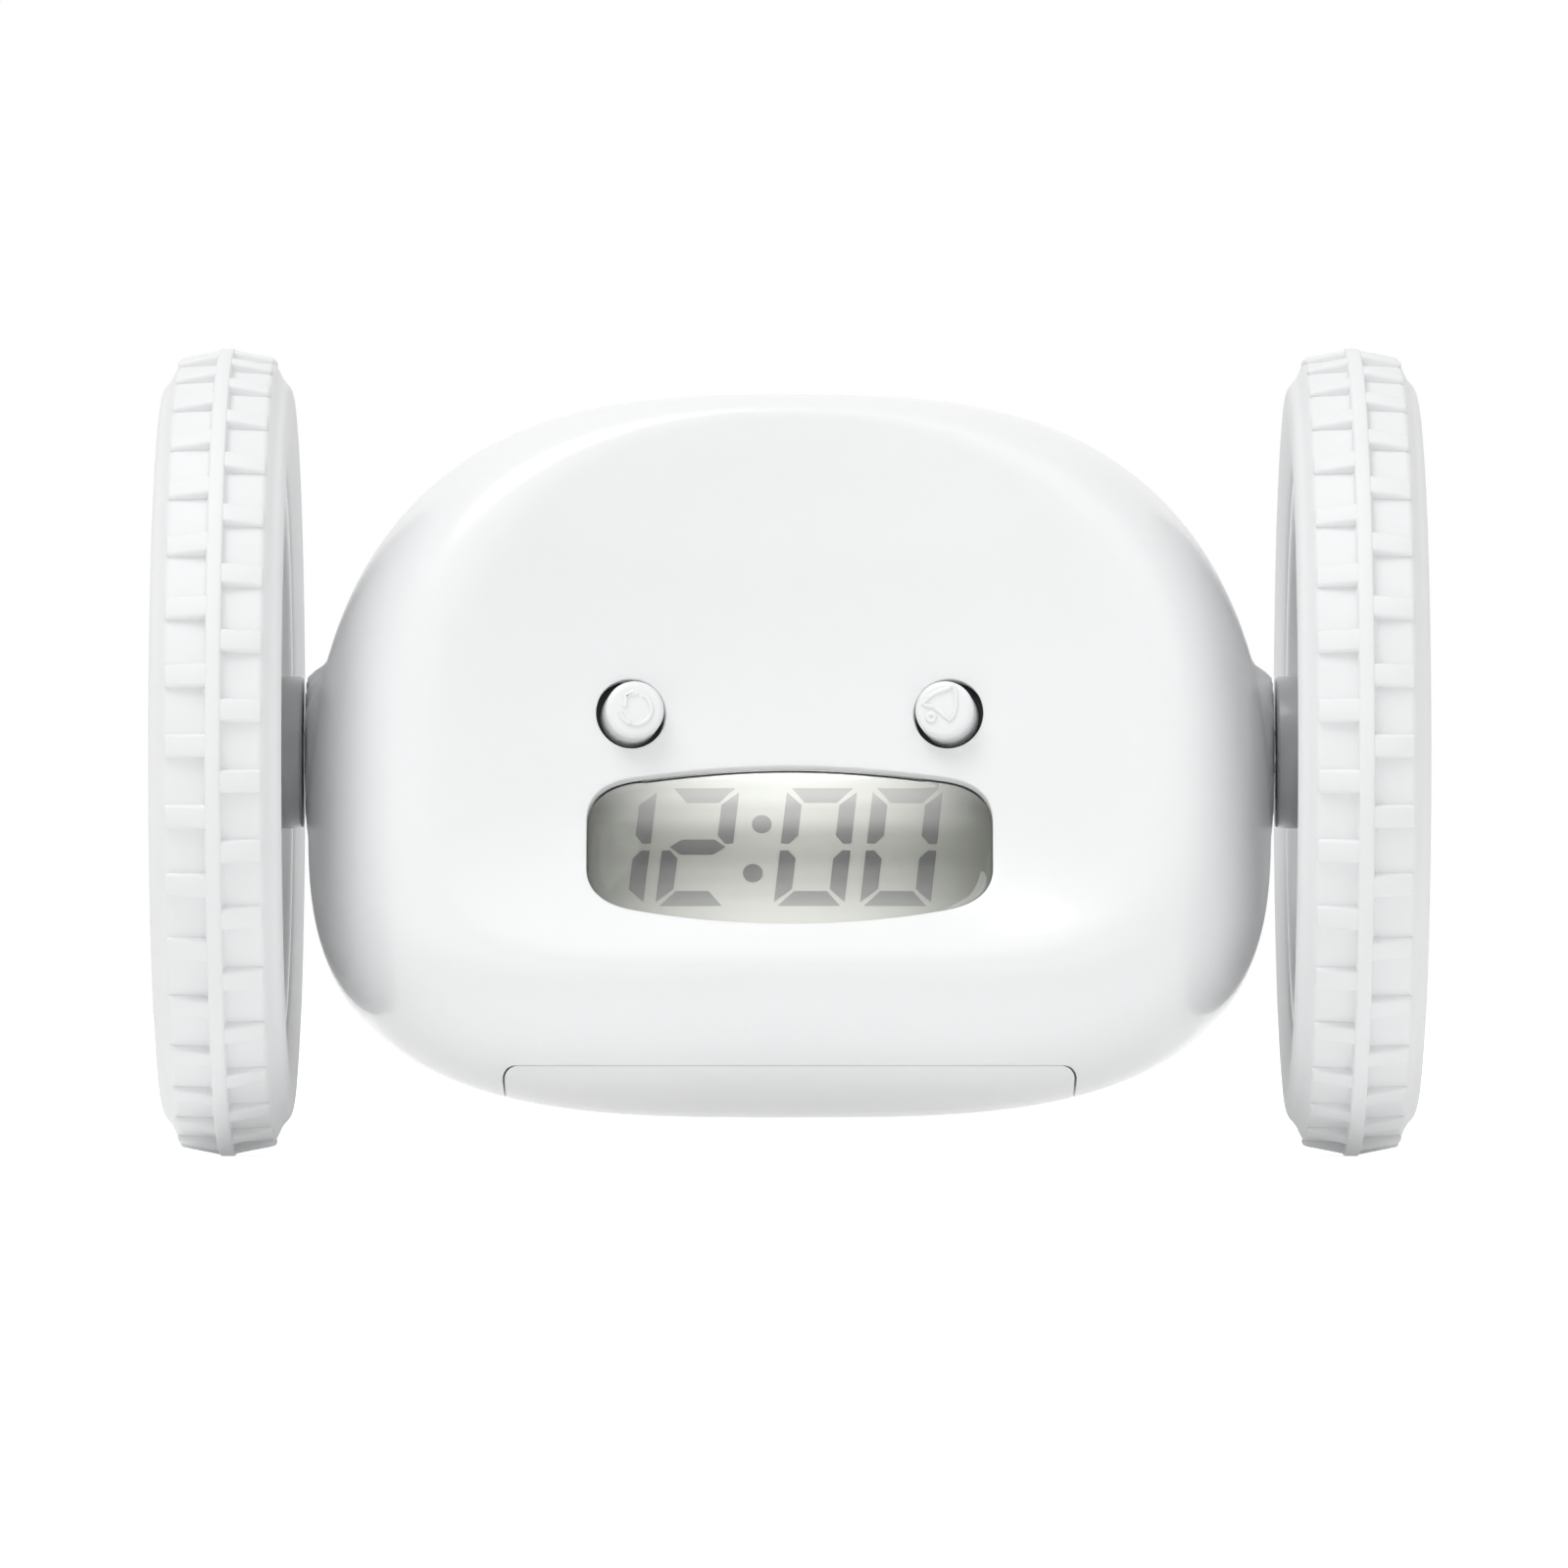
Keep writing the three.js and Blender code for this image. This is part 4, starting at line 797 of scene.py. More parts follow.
def finish_casing(piece, node):
    place(piece, Matrix.Translation(AXLE))
    return stand_in(piece, node, "gloss_white", 35)


def body_of(node):
    return frame["nodes"][node]["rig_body"]


# Materials

def add_node(tree, kind, operation=None, **inputs):
    """A node with its inputs set or linked; i0, i1 and so on name them by number."""
    node = tree.nodes.new(kind)
    if operation:
        node.operation = operation
    for key, value in inputs.items():
        target = node.inputs[int(key[1:])] if key[0] == "i" and key[1:].isdigit() else node.inputs[key]
        if isinstance(value, bpy.types.NodeSocket):
            tree.links.new(value, target)
        else:
            target.default_value = value
    return node


def calc(tree, operation, *values):
    """What a math node makes of numbers and sockets."""
    return add_node(tree, "ShaderNodeMath", operation, **{f"i{k}": v for k, v in enumerate(values)}).outputs[0]


def object_place(tree):
    return tree.nodes.new("ShaderNodeTexCoord").outputs["Object"]


def blended(tree, share, low, high):
    """A colour between two others, each given as a socket or as numbers."""
    mix = tree.nodes.new("ShaderNodeMix")
    mix.data_type = "RGBA"
    for number, value in ((0, share), (6, low), (7, high)):
        if isinstance(value, bpy.types.NodeSocket):
            tree.links.new(value, mix.inputs[number])
        else:
            mix.inputs[number].default_value = (*value, 1)
    return mix.outputs[2]


def new_group(name, inputs, outputs):
    group = bpy.data.node_groups.new(name, "ShaderNodeTree")
    for label, default in inputs.items():
        kind = "NodeSocketColor" if isinstance(default, tuple) else "NodeSocketFloat"
        group.interface.new_socket(label, in_out="INPUT", socket_type=kind).default_value = default
    for label, kind in outputs.items():
        group.interface.new_socket(label, in_out="OUTPUT", socket_type=kind)
    return group, group.nodes.new("NodeGroupInput").outputs, group.nodes.new("NodeGroupOutput").inputs


def grouped(tree, group, **inputs):
    """A group's node with its inputs set."""
    node = tree.nodes.new("ShaderNodeGroup")
    node.node_tree = group
    for label, value in inputs.items():
        node.inputs[label].default_value = value
    return node


def moulded_group():
    """Soft mottle of colour and gloss, and the faint waviness of a moulded surface."""
    name = "Moulded surface"
    if name in bpy.data.node_groups:
        return bpy.data.node_groups[name]
    group, given, out = new_group(name, {
        "Colour": (0.8, 0.8, 0.8, 1), "Mottle": 0.02, "Roughness": 0.3, "Spread": 0.05, "Scale": 60.0, "Grain": 900.0,
    }, {"Colour": "NodeSocketColor", "Roughness": "NodeSocketFloat", "Height": "NodeSocketFloat"})
    where = object_place(group)
    wide = add_node(group, "ShaderNodeTexNoise", Vector=where, Scale=given["Scale"], Detail=3.0).outputs[0]
    fine = add_node(group, "ShaderNodeTexNoise", Vector=where, Scale=given["Grain"], Detail=2.0).outputs[0]
    centred = calc(group, "SUBTRACT", wide, 0.5)
    level = calc(group, "MULTIPLY_ADD", centred, given["Mottle"], 1.0)
    tint = add_node(group, "ShaderNodeVectorMath", "SCALE", i0=given["Colour"], Scale=level)
    group.links.new(tint.outputs[0], out["Colour"])
    group.links.new(calc(group, "MULTIPLY_ADD", centred, given["Spread"], given["Roughness"]), out["Roughness"])
    group.links.new(calc(group, "MULTIPLY_ADD", wide, 0.6, fine), out["Height"])
    return group


def new_material(name):
    material = bpy.data.materials.new(name)
    material.use_nodes = True
    shader = material.node_tree.nodes["Principled BSDF"]
    return material, material.node_tree, shader


def moulded(name, tint, roughness, mottle=0.02, spread=0.06, scale=60.0, grain=900.0,
            bump=0.02, relief=0.00002, coat=0.0, metallic=0.0):
    """A moulded or plated finish with its own mottle, gloss and grain."""
    material, tree, shader = new_material(name)
    surface = grouped(
        tree, moulded_group(), Colour=(*tint, 1), Mottle=mottle, Roughness=roughness, Spread=spread,
        Scale=scale, Grain=grain)
    tree.links.new(surface.outputs["Colour"], shader.inputs["Base Color"])
    tree.links.new(surface.outputs["Roughness"], shader.inputs["Roughness"])
    raised = add_node(tree, "ShaderNodeBump", Strength=bump, Distance=relief, Height=surface.outputs["Height"])
    tree.links.new(raised.outputs["Normal"], shader.inputs["Normal"])
    shader.inputs["Metallic"].default_value = metallic
    shader.inputs["Coat Weight"].default_value = coat
    shader.inputs["Coat Roughness"].default_value = 0.06
    return material


# How bright the display's painted reflection is, from the bottom of the panel (0) to its top (1); it glows through
# the emission
PAINTED_REFLECTION = ((0.0, 0.36), (0.08, 0.31), (0.17, 0.2), (0.27, 0.11), (0.39, 0.0), (0.5, 0.06), (0.67, 0.37), (0.79, 0.58),
        (0.92, 0.72), (1.0, 0.78))


def display_group():
    """Colour of the display with painted light and shade, lighter in the middle and darker to its ends, and the
    painted reflection at its top and bottom.
    """
    name = "Display light"
    if name in bpy.data.node_groups:
        return bpy.data.node_groups[name]
    group, given, out = new_group(name, {
        "Light": (0.6, 0.6, 0.5, 1), "Dark": (0.2, 0.2, 0.15, 1), "Fall": 1.6,
        "Half width": 0.021, "Half height": 0.0085, "Middle height": 0.0337,
    }, {"Colour": "NodeSocketColor", "Veil": "NodeSocketColor"})
    axes = add_node(group, "ShaderNodeSeparateXYZ", Vector=object_place(group)).outputs
    side = add_node(group, "ShaderNodeMath", "DIVIDE", i0=calc(group, "ABSOLUTE", axes["X"]), i1=given["Half width"])
    side.use_clamp = True
    side = side.outputs[0]
    tall = calc(group, "DIVIDE", calc(group, "SUBTRACT", axes["Z"], given["Middle height"]), given["Half height"])
    painted_reflection = add_node(group, "ShaderNodeValToRGB", Fac=calc(group, "MULTIPLY_ADD", tall, 0.5, 0.5))
    ramp = painted_reflection.color_ramp
    ramp.interpolation = "EASE"
    while len(ramp.elements) < len(PAINTED_REFLECTION):
        ramp.elements.new(1.0)
    for element, (position, value) in zip(ramp.elements, PAINTED_REFLECTION):
        element.position = position
        element.color = (value, value, value * 0.97, 1)
    rest = calc(group, "SUBTRACT", 1.0, calc(group, "POWER", side, 3.0))
    light = add_node(group, "ShaderNodeVectorMath", "SCALE", i0=painted_reflection.outputs[0], Scale=rest)
    # Painted light and shade: the display is lighter in the middle and darker to its ends, as a reflection in the
    # lens falls off
    share = calc(group, "POWER", side, given["Fall"])
    group.links.new(blended(group, share, given["Light"], given["Dark"]), out["Colour"])
    group.links.new(light.outputs[0], out["Veil"])
    return group


def display_material(name, light, dark, fall):
    material, tree, shader = new_material(name)
    surface = grouped(tree, display_group(), Light=(*light, 1), Dark=(*dark, 1), Fall=fall)
    tree.links.new(surface.outputs["Colour"], shader.inputs["Base Color"])
    # The painted reflection is emitted, so the display and the numbers glow though they are no lamp
    tree.links.new(surface.outputs["Veil"], shader.inputs["Emission Color"])
    shader.inputs["Emission Strength"].default_value = 1.0
    shader.inputs["Roughness"].default_value = 0.45
    return material


def lens_material():
    material, tree, shader = new_material("clear_lens_finish")
    shader.inputs["Transmission Weight"].default_value = 1.0
    shader.inputs["Metallic"].default_value = 0.0
    shader.inputs["IOR"].default_value = 1.49
    surface = grouped(
        tree, moulded_group(), Colour=(0.97, 0.98, 0.97, 1), Mottle=0.01, Roughness=0.03, Spread=0.03)
    tree.links.new(surface.outputs["Colour"], shader.inputs["Base Color"])
    tree.links.new(surface.outputs["Roughness"], shader.inputs["Roughness"])
    return material


def finishes():
    """Every finish of the clock, made once and kept by name."""
    colours = bpy.context.scene.clock_colours
    if "gloss_white_finish" in bpy.data.materials:
        return bpy.data.materials
    moulded("gloss_white_finish", colours.casing, 0.3, mottle=0.012, spread=0.08, scale=45.0, bump=0.05, coat=0.35)
    moulded("tyre_white_finish", colours.tyre, 0.62, mottle=0.05, spread=0.12, scale=120.0, grain=2600.0, bump=0.25,
            relief=0.00004)
    moulded("rim_white_finish", colours.rim, 0.42, mottle=0.02, bump=0.08)
    moulded("collar_grey_finish", colours.collar, 0.3, mottle=0.04, bump=0.05, coat=0.3)
    moulded("dark_plastic_finish", colours.dark, 0.5, mottle=0.2, bump=0.2, grain=1800.0)
    moulded("pale_nylon_finish", colours.nylon, 0.45, mottle=0.04, bump=0.1)
    moulded("board_green_finish", colours.board, 0.45, mottle=0.25, scale=300.0, bump=0.1, coat=0.3)
    moulded("steel_finish", colours.steel, 0.3, mottle=0.08, spread=0.2, scale=500.0, bump=0.1, metallic=1.0)
    moulded("brass_finish", colours.brass, 0.32, mottle=0.1, spread=0.2, scale=400.0, bump=0.1, metallic=1.0)
    moulded("cell_wrap_finish", colours.wrap, 0.3, mottle=0.1, bump=0.05, coat=0.5)
    display_material("display_finish", colours.display_light, colours.display_dark, fall=1.6)
    display_material("digit_finish", colours.digit_light, colours.digit_dark, fall=1.0)
    lens_material()
    return bpy.data.materials


def paint(piece, finish):
    material = finishes()[finish]
    if not piece.material_slots:
        piece.data.materials.append(material)
    for slot in piece.material_slots:
        slot.material = material
    for polygon in piece.data.polygons:
        polygon.material_index = 0
    return piece


# Pieces

class AddCasing(bpy.types.Operator):
    """Adds the front and rear halves of the casing"""
    bl_idname = "clock.add_casing"
    bl_label = "Casing"

    def execute(self, context):
        scene = context.scene
        casing, window, buttons, back = (
            scene.clock_casing, scene.clock_window, scene.clock_buttons, scene.clock_back)
        front = half_casing("casing_front", True)
        cutters = [opening_cutter("window_cutter", window_seat(), window_outline(), window.lip, casing.wall * 2)]
        for side in (-1, 1):
            hole = circle(buttons.hole_radius, 72)
            cutters.append(opening_cutter("hole_cutter", button_seat(side), hole, buttons.lip, casing.wall * 2))
        cutters += [bores(), door_cutter("door_cutter", 0, 0)]
        combine(front, join("cutters", cutters), "DIFFERENCE")
        finish_casing(front, "front_shell")

        rear = half_casing("casing_rear", False)
        bosses = [rod("boss", back.screw_boss, (x, casing.seam / 2, z), (x, BOSS_END, z)) for x, z in SCREW_PLACES]
        bosses = join("bosses", bosses)
        combine(bosses, casing_form("wall_middle", casing.wall / 2, 2), "INTERSECT")
        combine(rear, bosses, "UNION")
        cutters = [bores(), door_cutter("door_cutter", 0, 0)]
        hole = circle(back.screw_hole, 48)
        for x, z in SCREW_PLACES:
            cutters.append(opening_cutter("screw_cutter", rear_seat(x, z), hole, REAR_LIP, 0, floor=-back.screw_seat))
        openings = [(x, back.key_height, circle(back.key_hole)) for x in key_places()]
        openings.append((0, back.switch_height, slot_outline(back.slot_width / 2, back.slot_height / 2, 0.0005)))
        for x, z, outline in openings:
            cutters.append(opening_cutter("rear_cutter", rear_seat(x, z), outline, REAR_LIP, casing.wall * 2.5))
        combine(rear, join("cutters", cutters), "DIFFERENCE")
        finish_casing(rear, "rear_shell")
        return {"FINISHED"}


def slot_outline(half_width, half_height, corner):
    made = []
    for x, z, start in ((1, 1, 0), (-1, 1, 90), (-1, -1, 180), (1, -1, 270)):
        for angle in np.radians(np.linspace(start, start + 90, 6)):
            made.append((x * (half_width - corner) + corner * math.cos(angle),
                         z * (half_height - corner) + corner * math.sin(angle)))
        for share in (0.25, 0.5, 0.75):
            along = half_width - corner if start in (0, 180) else half_height - corner
            if start in (0, 180):
                made.append((x * along * (1 - 2 * share), z * half_height))
            else:
                made.append((x * half_width, z * along * (1 - 2 * share)))
    return np.array(made)


DOOR_CUT = -0.028  # above this height nothing of the door is left
# A hook's reach along the slide, and the heights of its post and bar
HOOK_RUN = (0.002, 0.008)
HOOK_POST = (-0.0354, -0.0336)
HOOK_BAR = (-0.034, -0.0334)
HOOK_SIDES = {"root": -0.0011, "post": -0.0003, "tip": 0.0008}  # from the side of the opening


class AddBatteryDoor(bpy.types.Operator):
    """Adds the sliding door of the battery pack, with two hooks that run above the casing's wall"""
    bl_idname = "clock.add_battery_door"
    bl_label = "Battery door"

    def execute(self, context):
        casing, door = context.scene.clock_casing, context.scene.clock_door
        piece = casing_form("battery_cover")
        slice_off(piece, (0, 0, DOOR_CUT), (0, 0, 1))
        apply_modifier(piece, "SOLIDIFY", thickness=casing.wall, offset=-1, use_even_offset=True)
        combine(piece, door_cutter("outline", door.gap, door.top_gap), "INTERSECT")
        hooks = []
        for side in (-1, 1):
            for end, heights in (("post", HOOK_POST), ("tip", HOOK_BAR)):
                sides = sorted(side * (door.half_width + HOOK_SIDES[key]) for key in ("root", end))
                low, high = zip(sides, HOOK_RUN, heights)
                hooks.append(block("hook", low, high, 0.0001))
        combine(piece, join("hooks", hooks), "UNION")
        finish_casing(piece, "battery_door")
        return {"FINISHED"}


LENS_SHARES = [k / 14 for k in range(1, 14)] + [0.985]
DIGIT_THICK = 0.00006  # of the numbers
DIGIT_DEPTH = 0.0029  # from the window's plane to the numbers


class AddWindow(bpy.types.Operator):
    """Adds the lens and the numbers behind it"""
    bl_idname = "clock.add_window"
    bl_label = "Window and display"

    def execute(self, context):
        window = context.scene.clock_window
        seat = window_seat()
        outline = window_outline(-window.fit_gap)
        front, back = window.recess, window.recess + window.lens_thick
        edge = window.lens_thick * 0.1
        rings = [seat.points(outline * share, front) for share in LENS_SHARES]
        rings += [seat.points(outline, front + edge), seat.points(outline, back - edge)]
        rings += [seat.points(outline * share, back) for share in reversed(LENS_SHARES)]
        middle = np.zeros((1, 2))
        lens = ball_from_rings("lens", np.array(rings), seat.points(middle, front)[0], seat.points(middle, back)[0])
        place(lens, Matrix.Translation(AXLE))
        stand_in(lens, "window_lens", "clear_lens", 40)

        digits = flat_solid("display_digits", digit_loops(), DIGIT_THICK, Matrix.Identity(4))
        place(digits, Matrix.Translation(AXLE) @ seat.matrix(DIGIT_DEPTH))
        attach(digits, body_of("display_panel"))
        paint(digits, "digit_finish")
        return {"FINISHED"}


SEGMENTS = {"0": "abcdef", "1": "bc", "2": "abged"}
DIGIT_PLACES = (("1", -0.0185), ("2", -0.00975), ("0", 0.00275), ("0", 0.01185))
DOT_PLACES = ((-0.00295, 0.0027), (-0.0039, -0.0031))


def digit_loops():
    """The segments of every number and the two dots, as closed outlines."""
    sizes = bpy.context.scene.clock_display
    loops = []
    for figure, place_x in DIGIT_PLACES:
        for segment in SEGMENTS[figure]:
            loops.append(leaning(segment_outline(segment), place_x))
    for x, z in DOT_PLACES:
        loops.append(circle(sizes.dot, 24) + np.array([x, z + sizes.rise]))
    return loops


def leaning(points, place_x):
    sizes = bpy.context.scene.clock_display
    return [(x + place_x + y * math.tan(sizes.slant), y + sizes.rise) for x, y in points]


MITRE = 0.9  # of a segment's thickness


def segment_outline(segment):
    """One bar of a number, mitred where it meets the next; the lower and left ones mirror the others."""
    sizes = bpy.context.scene.clock_display
    w, h, s, g = sizes.digit_width / 2, sizes.digit_height / 2, sizes.stroke, sizes.gap
    cut = s * MITRE
    if segment == "g":
        upper = [(-w + g + s * 0.2, 0), (-w + g + cut, s / 2), (w - g - cut, s / 2)]
        return upper + [(-x, -y) for x, y in upper]
    if segment in "ad":
        bar = [(-w + g, h), (w - g, h), (w - g - cut, h - s), (-w + g + cut, h - s)]
    else:
        bar = [(w, h - g), (w, g), (w - s * 0.5, g * 0.9), (w - s, g + s * 0.55), (w - s, h - g - cut)]
    if segment in "ef":
        bar = [(-x, y) for x, y in reversed(bar)]
    if segment in "cde":
        bar = [(x, -y) for x, y in reversed(bar)]
    return bar


# A button's parts along its axis, from the face outwards, and the depth in its hole from which it is painted dark as
# shade
FLANGE_FRONT, FLANGE_BACK, STEM_END = -0.0025, -0.0035, -0.0051
SHADE_DEPTH = 0.0012
SMALL_EDGE = 0.0002


class AddButtons(bpy.types.Operator):
    """Adds the two round buttons with their raised signs"""
    bl_idname = "clock.add_buttons"
    bl_label = "Face buttons"

    def execute(self, context):
        sizes = context.scene.clock_buttons
        cap, flange, stem = sizes.cap_radius, sizes.flange_radius, sizes.stem_radius
        profile = [
            (0, sizes.proud), (cap, sizes.proud), (cap, FLANGE_FRONT), (flange, FLANGE_FRONT),
            (flange, FLANGE_BACK), (stem, FLANGE_BACK), (stem, STEM_END), (0, STEM_END)]
        first = turned("cap", profile, 96, [(1, sizes.edge, 8)] + [(k, SMALL_EDGE, 2) for k in (3, 4, 6)])
        for side, name, node, strokes in (
                (-1, "snooze_cap", "snooze_button", arrow_strokes()),
                (1, "alarm_cap", "alarm_button", bell_strokes())):
            seat = button_seat(side)
            matrix = Matrix.Translation(AXLE) @ seat.matrix() @ Matrix.Translation((-side * sizes.play, 0, 0))
            piece = place(copy_of(first, name), matrix)
            sign = wire("sign", strokes, sizes.relief, matrix @ Matrix.Translation((0, 0, sizes.proud)))
            piece = stand_in(join(name, [sign, piece]), node, "gloss_white", 40)
            # Painted shade: the part of the button deep in its hole gets the dark finish
            shade_in_hole(piece, seat, SHADE_DEPTH)
        bpy.data.objects.remove(first)
        return {"FINISHED"}


def shade_in_hole(piece, seat, depth):
    """Paints shade in the hole: the cap's side, flange and stem deeper than a depth behind the face get the dark
    finish.
    """
    piece.data.materials.append(finishes()["dark_plastic_finish"])
    origin = Vector(seat.origin) + AXLE
    for polygon in piece.data.polygons:
        if (polygon.center - origin).dot(Vector(seat.inwards)) > depth:
            polygon.material_index = 1


def arc(middle, radius, start, end, steps=20):
    angles = np.radians(np.linspace(start, end, steps))
    return [(middle[0] + radius * math.cos(a), middle[1] + radius * math.sin(a)) for a in angles]


def arrow_strokes():
    """A round arrow, for another few minutes of sleep."""
    ring = 0.00168
    tip = arc((0, 0), ring, 128, 128, 1)[0]
    head = [(tip[0] + 0.0009, tip[1] + 0.0006), tip, (tip[0] - 0.0001, tip[1] - 0.0011)]
    sweeps = ((62, -108, 26), (250, 190, 10), (128, 80, 8))
    return [(head, False)] + [(arc((0, 0), ring, *sweep), False) for sweep in sweeps]


def bell_strokes():
    """A leaning bell with its clapper."""
    body = [(-0.0022, 0.0005), (-0.0017, 0.0012), (-0.0010, 0.0017), (-0.0002, 0.0020), (0.0005, 0.0022),
            (0.0009, 0.0025), (0.0012, 0.0019), (0.0013, 0.0010), (0.0013, 0.0001), (0.0011, -0.0007),
            (0.0007, -0.0012), (0.0002, -0.0008), (-0.0005, -0.0002), (-0.0011, 0.0003), (-0.0017, 0.0003)]
    return [(body, True), (arc((-0.0013, -0.0009), 0.0004, 0, 330, 14), True)]


TO_BACK = Matrix.Rotation(-math.pi / 2, 4, "X")
KEY_FLANGE, KEY_FOOT, KEY_STEM = 0.002, 0.001, 0.0015  # front and back of the flange, radius of the stem
RIDGE_PITCH = 0.0007
SCREW_PROFILE = [(0, 0.0018), (0.0025, 0.0018), (0.0025, 0), (0.0012, 0), (0.0012, -0.0166), (0, -0.0172)]
SCREW_HEAD = 0.0018
SCREW_TURN = 0.7  # from one screw's slots to the next one's


def about(middle, sides, low_y, high_y, edge, segments=2):
    """A block that reaches the same way to both sides of a middle, between two depths."""
    return block("part", (middle.x - sides[0], low_y, middle.z - sides[1]),
                 (middle.x + sides[0], high_y, middle.z + sides[1]), edge, segments)


class AddBackControls(bpy.types.Operator):
    """Adds the four keys, the run switch and the screws at the back"""
    bl_idname = "clock.add_back_controls"
    bl_label = "Keys, run switch and screws"

    def execute(self, context):
        back = context.scene.clock_back
        for x, node in zip(key_places(), KEY_NAMES):
            low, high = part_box(node)
            top = high.y - low.y
            flange = (high.x - low.x) / 2
            profile = [
                (0, top), (back.key_radius, top), (back.key_radius, KEY_FLANGE), (flange, KEY_FLANGE),
                (flange, KEY_FOOT), (KEY_STEM, KEY_FOOT), (KEY_STEM, 0), (0, 0)]
            piece = turned(node + "_cap", profile, 72, [(1, 0.0005, 5)] + [(k, SMALL_EDGE, 2) for k in (3, 4)])
            place(piece, Matrix.Translation((x, low.y, AXLE_HEIGHT + back.key_height)) @ TO_BACK)
            stand_in(piece, node, "gloss_white", 40)

        low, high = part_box("run_switch")
        middle = (low + high) / 2
        half = (high - low) / 2
        parts = [about(middle, (0.002, 0.0014), low.y + 0.0005, high.y, 0.00035, 3)]
        for k in (-2, -1, 0, 1, 2):
            ridge = middle + Vector((RIDGE_PITCH * k, 0, 0))
            parts.append(about(ridge, (0.00015, 0.0011), high.y - 0.0004, high.y, 0.0001))
        parts.append(about(middle, (half.x, half.z), low.y, low.y + 0.001, SMALL_EDGE))
        stand_in(join("run_knob", parts), "run_switch", "dark_plastic", 40)

        head = turned("screw", SCREW_PROFILE, 48, [(1, 0.0007, 5)])
        bars = [
            block("bar", (-long, -wide, SCREW_HEAD / 2), (long, wide, 0.003))
            for long, wide in ((0.0016, 0.00028), (0.00028, 0.0016))]
        combine(bars[0], bars[1], "UNION")
        combine(head, bars[0], "DIFFERENCE")
        for number, (x, z) in enumerate(SCREW_PLACES, 1):
            node = f"casing_screw_{number}"
            turn = TO_BACK @ Matrix.Rotation(number * SCREW_TURN, 4, "Z")
            at = Matrix.Translation((x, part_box(node)[1].y - SCREW_HEAD, AXLE_HEIGHT + z))
            stand_in(place(copy_of(head, node + "_head"), at @ turn), node, "steel", 35)
        bpy.data.objects.remove(head)
        return {"FINISHED"}


class AddWheels(bpy.types.Operator):
    """Adds the tyres, rims, hub caps and collars"""
    bl_idname = "clock.add_wheels"
    bl_label = "Wheels"

    def execute(self, context):
        along_axle = Matrix.Rotation(math.pi / 2, 4, "Y")
        for part, maker, slot in (
                ("tyre", tyre, "tyre_white"), ("rim", rim, "rim_white"), ("hub_cap", hub_cap, "gloss_white"),
                ("drive_collar", drive_collar, "collar_grey")):
            first = maker()
            for side, name in ((-1, "left"), (1, "right")):
                piece = copy_of(first, f"{name}_{part}_form")
                half_turn = Matrix.Rotation(math.pi if side < 0 else 0, 4, "Z")
                centre = Matrix.Translation((side * WHEEL_CENTRE, 0, AXLE_HEIGHT))
                place(piece, centre @ half_turn @ along_axle)
                stand_in(piece, f"{name}_{part}", slot, 40)
            bpy.data.objects.remove(first)
        return {"FINISHED"}


BUSH_BORE = 0.0023  # radius of the hole for the axle


def tyre():
    """The ring: rib, tread, ledge of the shoulder, cheek and bead, and the same again on the other side."""
    sizes = bpy.context.scene.clock_wheels
    crown, floor = sizes.radius, sizes.radius - sizes.tread_depth
    half = WHEEL_WIDTH / 2
    one = [
        (crown, sizes.rib_half), (floor, sizes.rib_half + 0.0001), (floor - 0.0002, sizes.tread_half),
        (crown - 0.0033, 0.0059), (crown - 0.0043, 0.00685), (crown - 0.0067, half), (0.0335, half - 0.0004),
        (sizes.bead_radius, 0.0061)]
    other = [(r, -x) for r, x in reversed(one)]
    last = 2 * len(one) - 1
    roundings = []
    for corner, (radius, segments) in enumerate((
            (0.00025, 3), (0.00025, 3), (0.0005, 4), (0.0004, 4), (0.0006, 4), (0.0009, 4), (0.001, 3), (0.0004, 3))):
        roundings += [(corner, radius, segments), (last - corner, radius, segments)]
    ring = turned("tyre", one + other, 216, roundings)
    return join("tyre", [lug_row(1, 0.0), lug_row(-1, 0.5), ring])


LUG_DROP = 0.00012  # below the rib
LUG_ROOT = 0.0004  # into the ring
LUG_FALL = 0.0009  # of its outer end
LUG_EDGE = 0.00035


def lug_row(direction, pitch_share):
    """One row of lugs: a block shaped once and spun round the tyre in copies."""
    sizes = bpy.context.scene.clock_wheels
    crown = sizes.radius - LUG_DROP
    floor = sizes.radius - sizes.tread_depth - LUG_ROOT
    ends = sorted((direction * (sizes.rib_half - 0.0003), direction * (sizes.tread_half + 0.0001)))
    half = sizes.lug_length / 2
    lug = block("lug", (floor, -half, ends[0]), (crown, half, ends[1]))
    co = points_of(lug)
    outer = np.abs(co[:, 2]) > sizes.tread_half * 0.9
    high = co[:, 0] > crown - 1e-5
    co[:, 0] = np.where(outer & high, co[:, 0] - LUG_FALL, co[:, 0])
    move_points(lug, co)
    with editing(lug):
        bpy.ops.mesh.bevel(offset=LUG_EDGE, segments=3, affect="EDGES")
        bpy.ops.transform.rotate(
            value=FULL_TURN * pitch_share / sizes.lugs, orient_axis="Z", center_override=(0, 0, 0))
        bpy.ops.mesh.spin(steps=sizes.lugs, angle=FULL_TURN, center=(0, 0, 0), axis=(0, 0, 1), dupli=True)
    face_outwards(lug)
    return lug


def rim():
    seat, barrel, boss, bore = 0.0307, 0.0286, 0.0072, BUSH_BORE
    flange, web, dish, hub = 0.0059, 0.0002, 0.0022, 0.003
    profile = [
        (bore, -dish), (boss, -dish), (boss, web), (barrel, web), (barrel, -flange), (seat, -flange),
        (seat, flange), (barrel, flange), (barrel, dish), (boss, dish), (boss, hub), (bore, hub)]
    roundings = [(1, 0.0004, 3), (2, 0.0008, 4), (3, 0.0016, 6), (4, 0.0005, 4), (5, 0.0003, 3), (6, 0.0003, 3),
                 (7, 0.0005, 4), (8, 0.0016, 6), (9, 0.0005, 3), (10, 0.0003, 3)]
    return turned("rim", profile, 144, roundings)


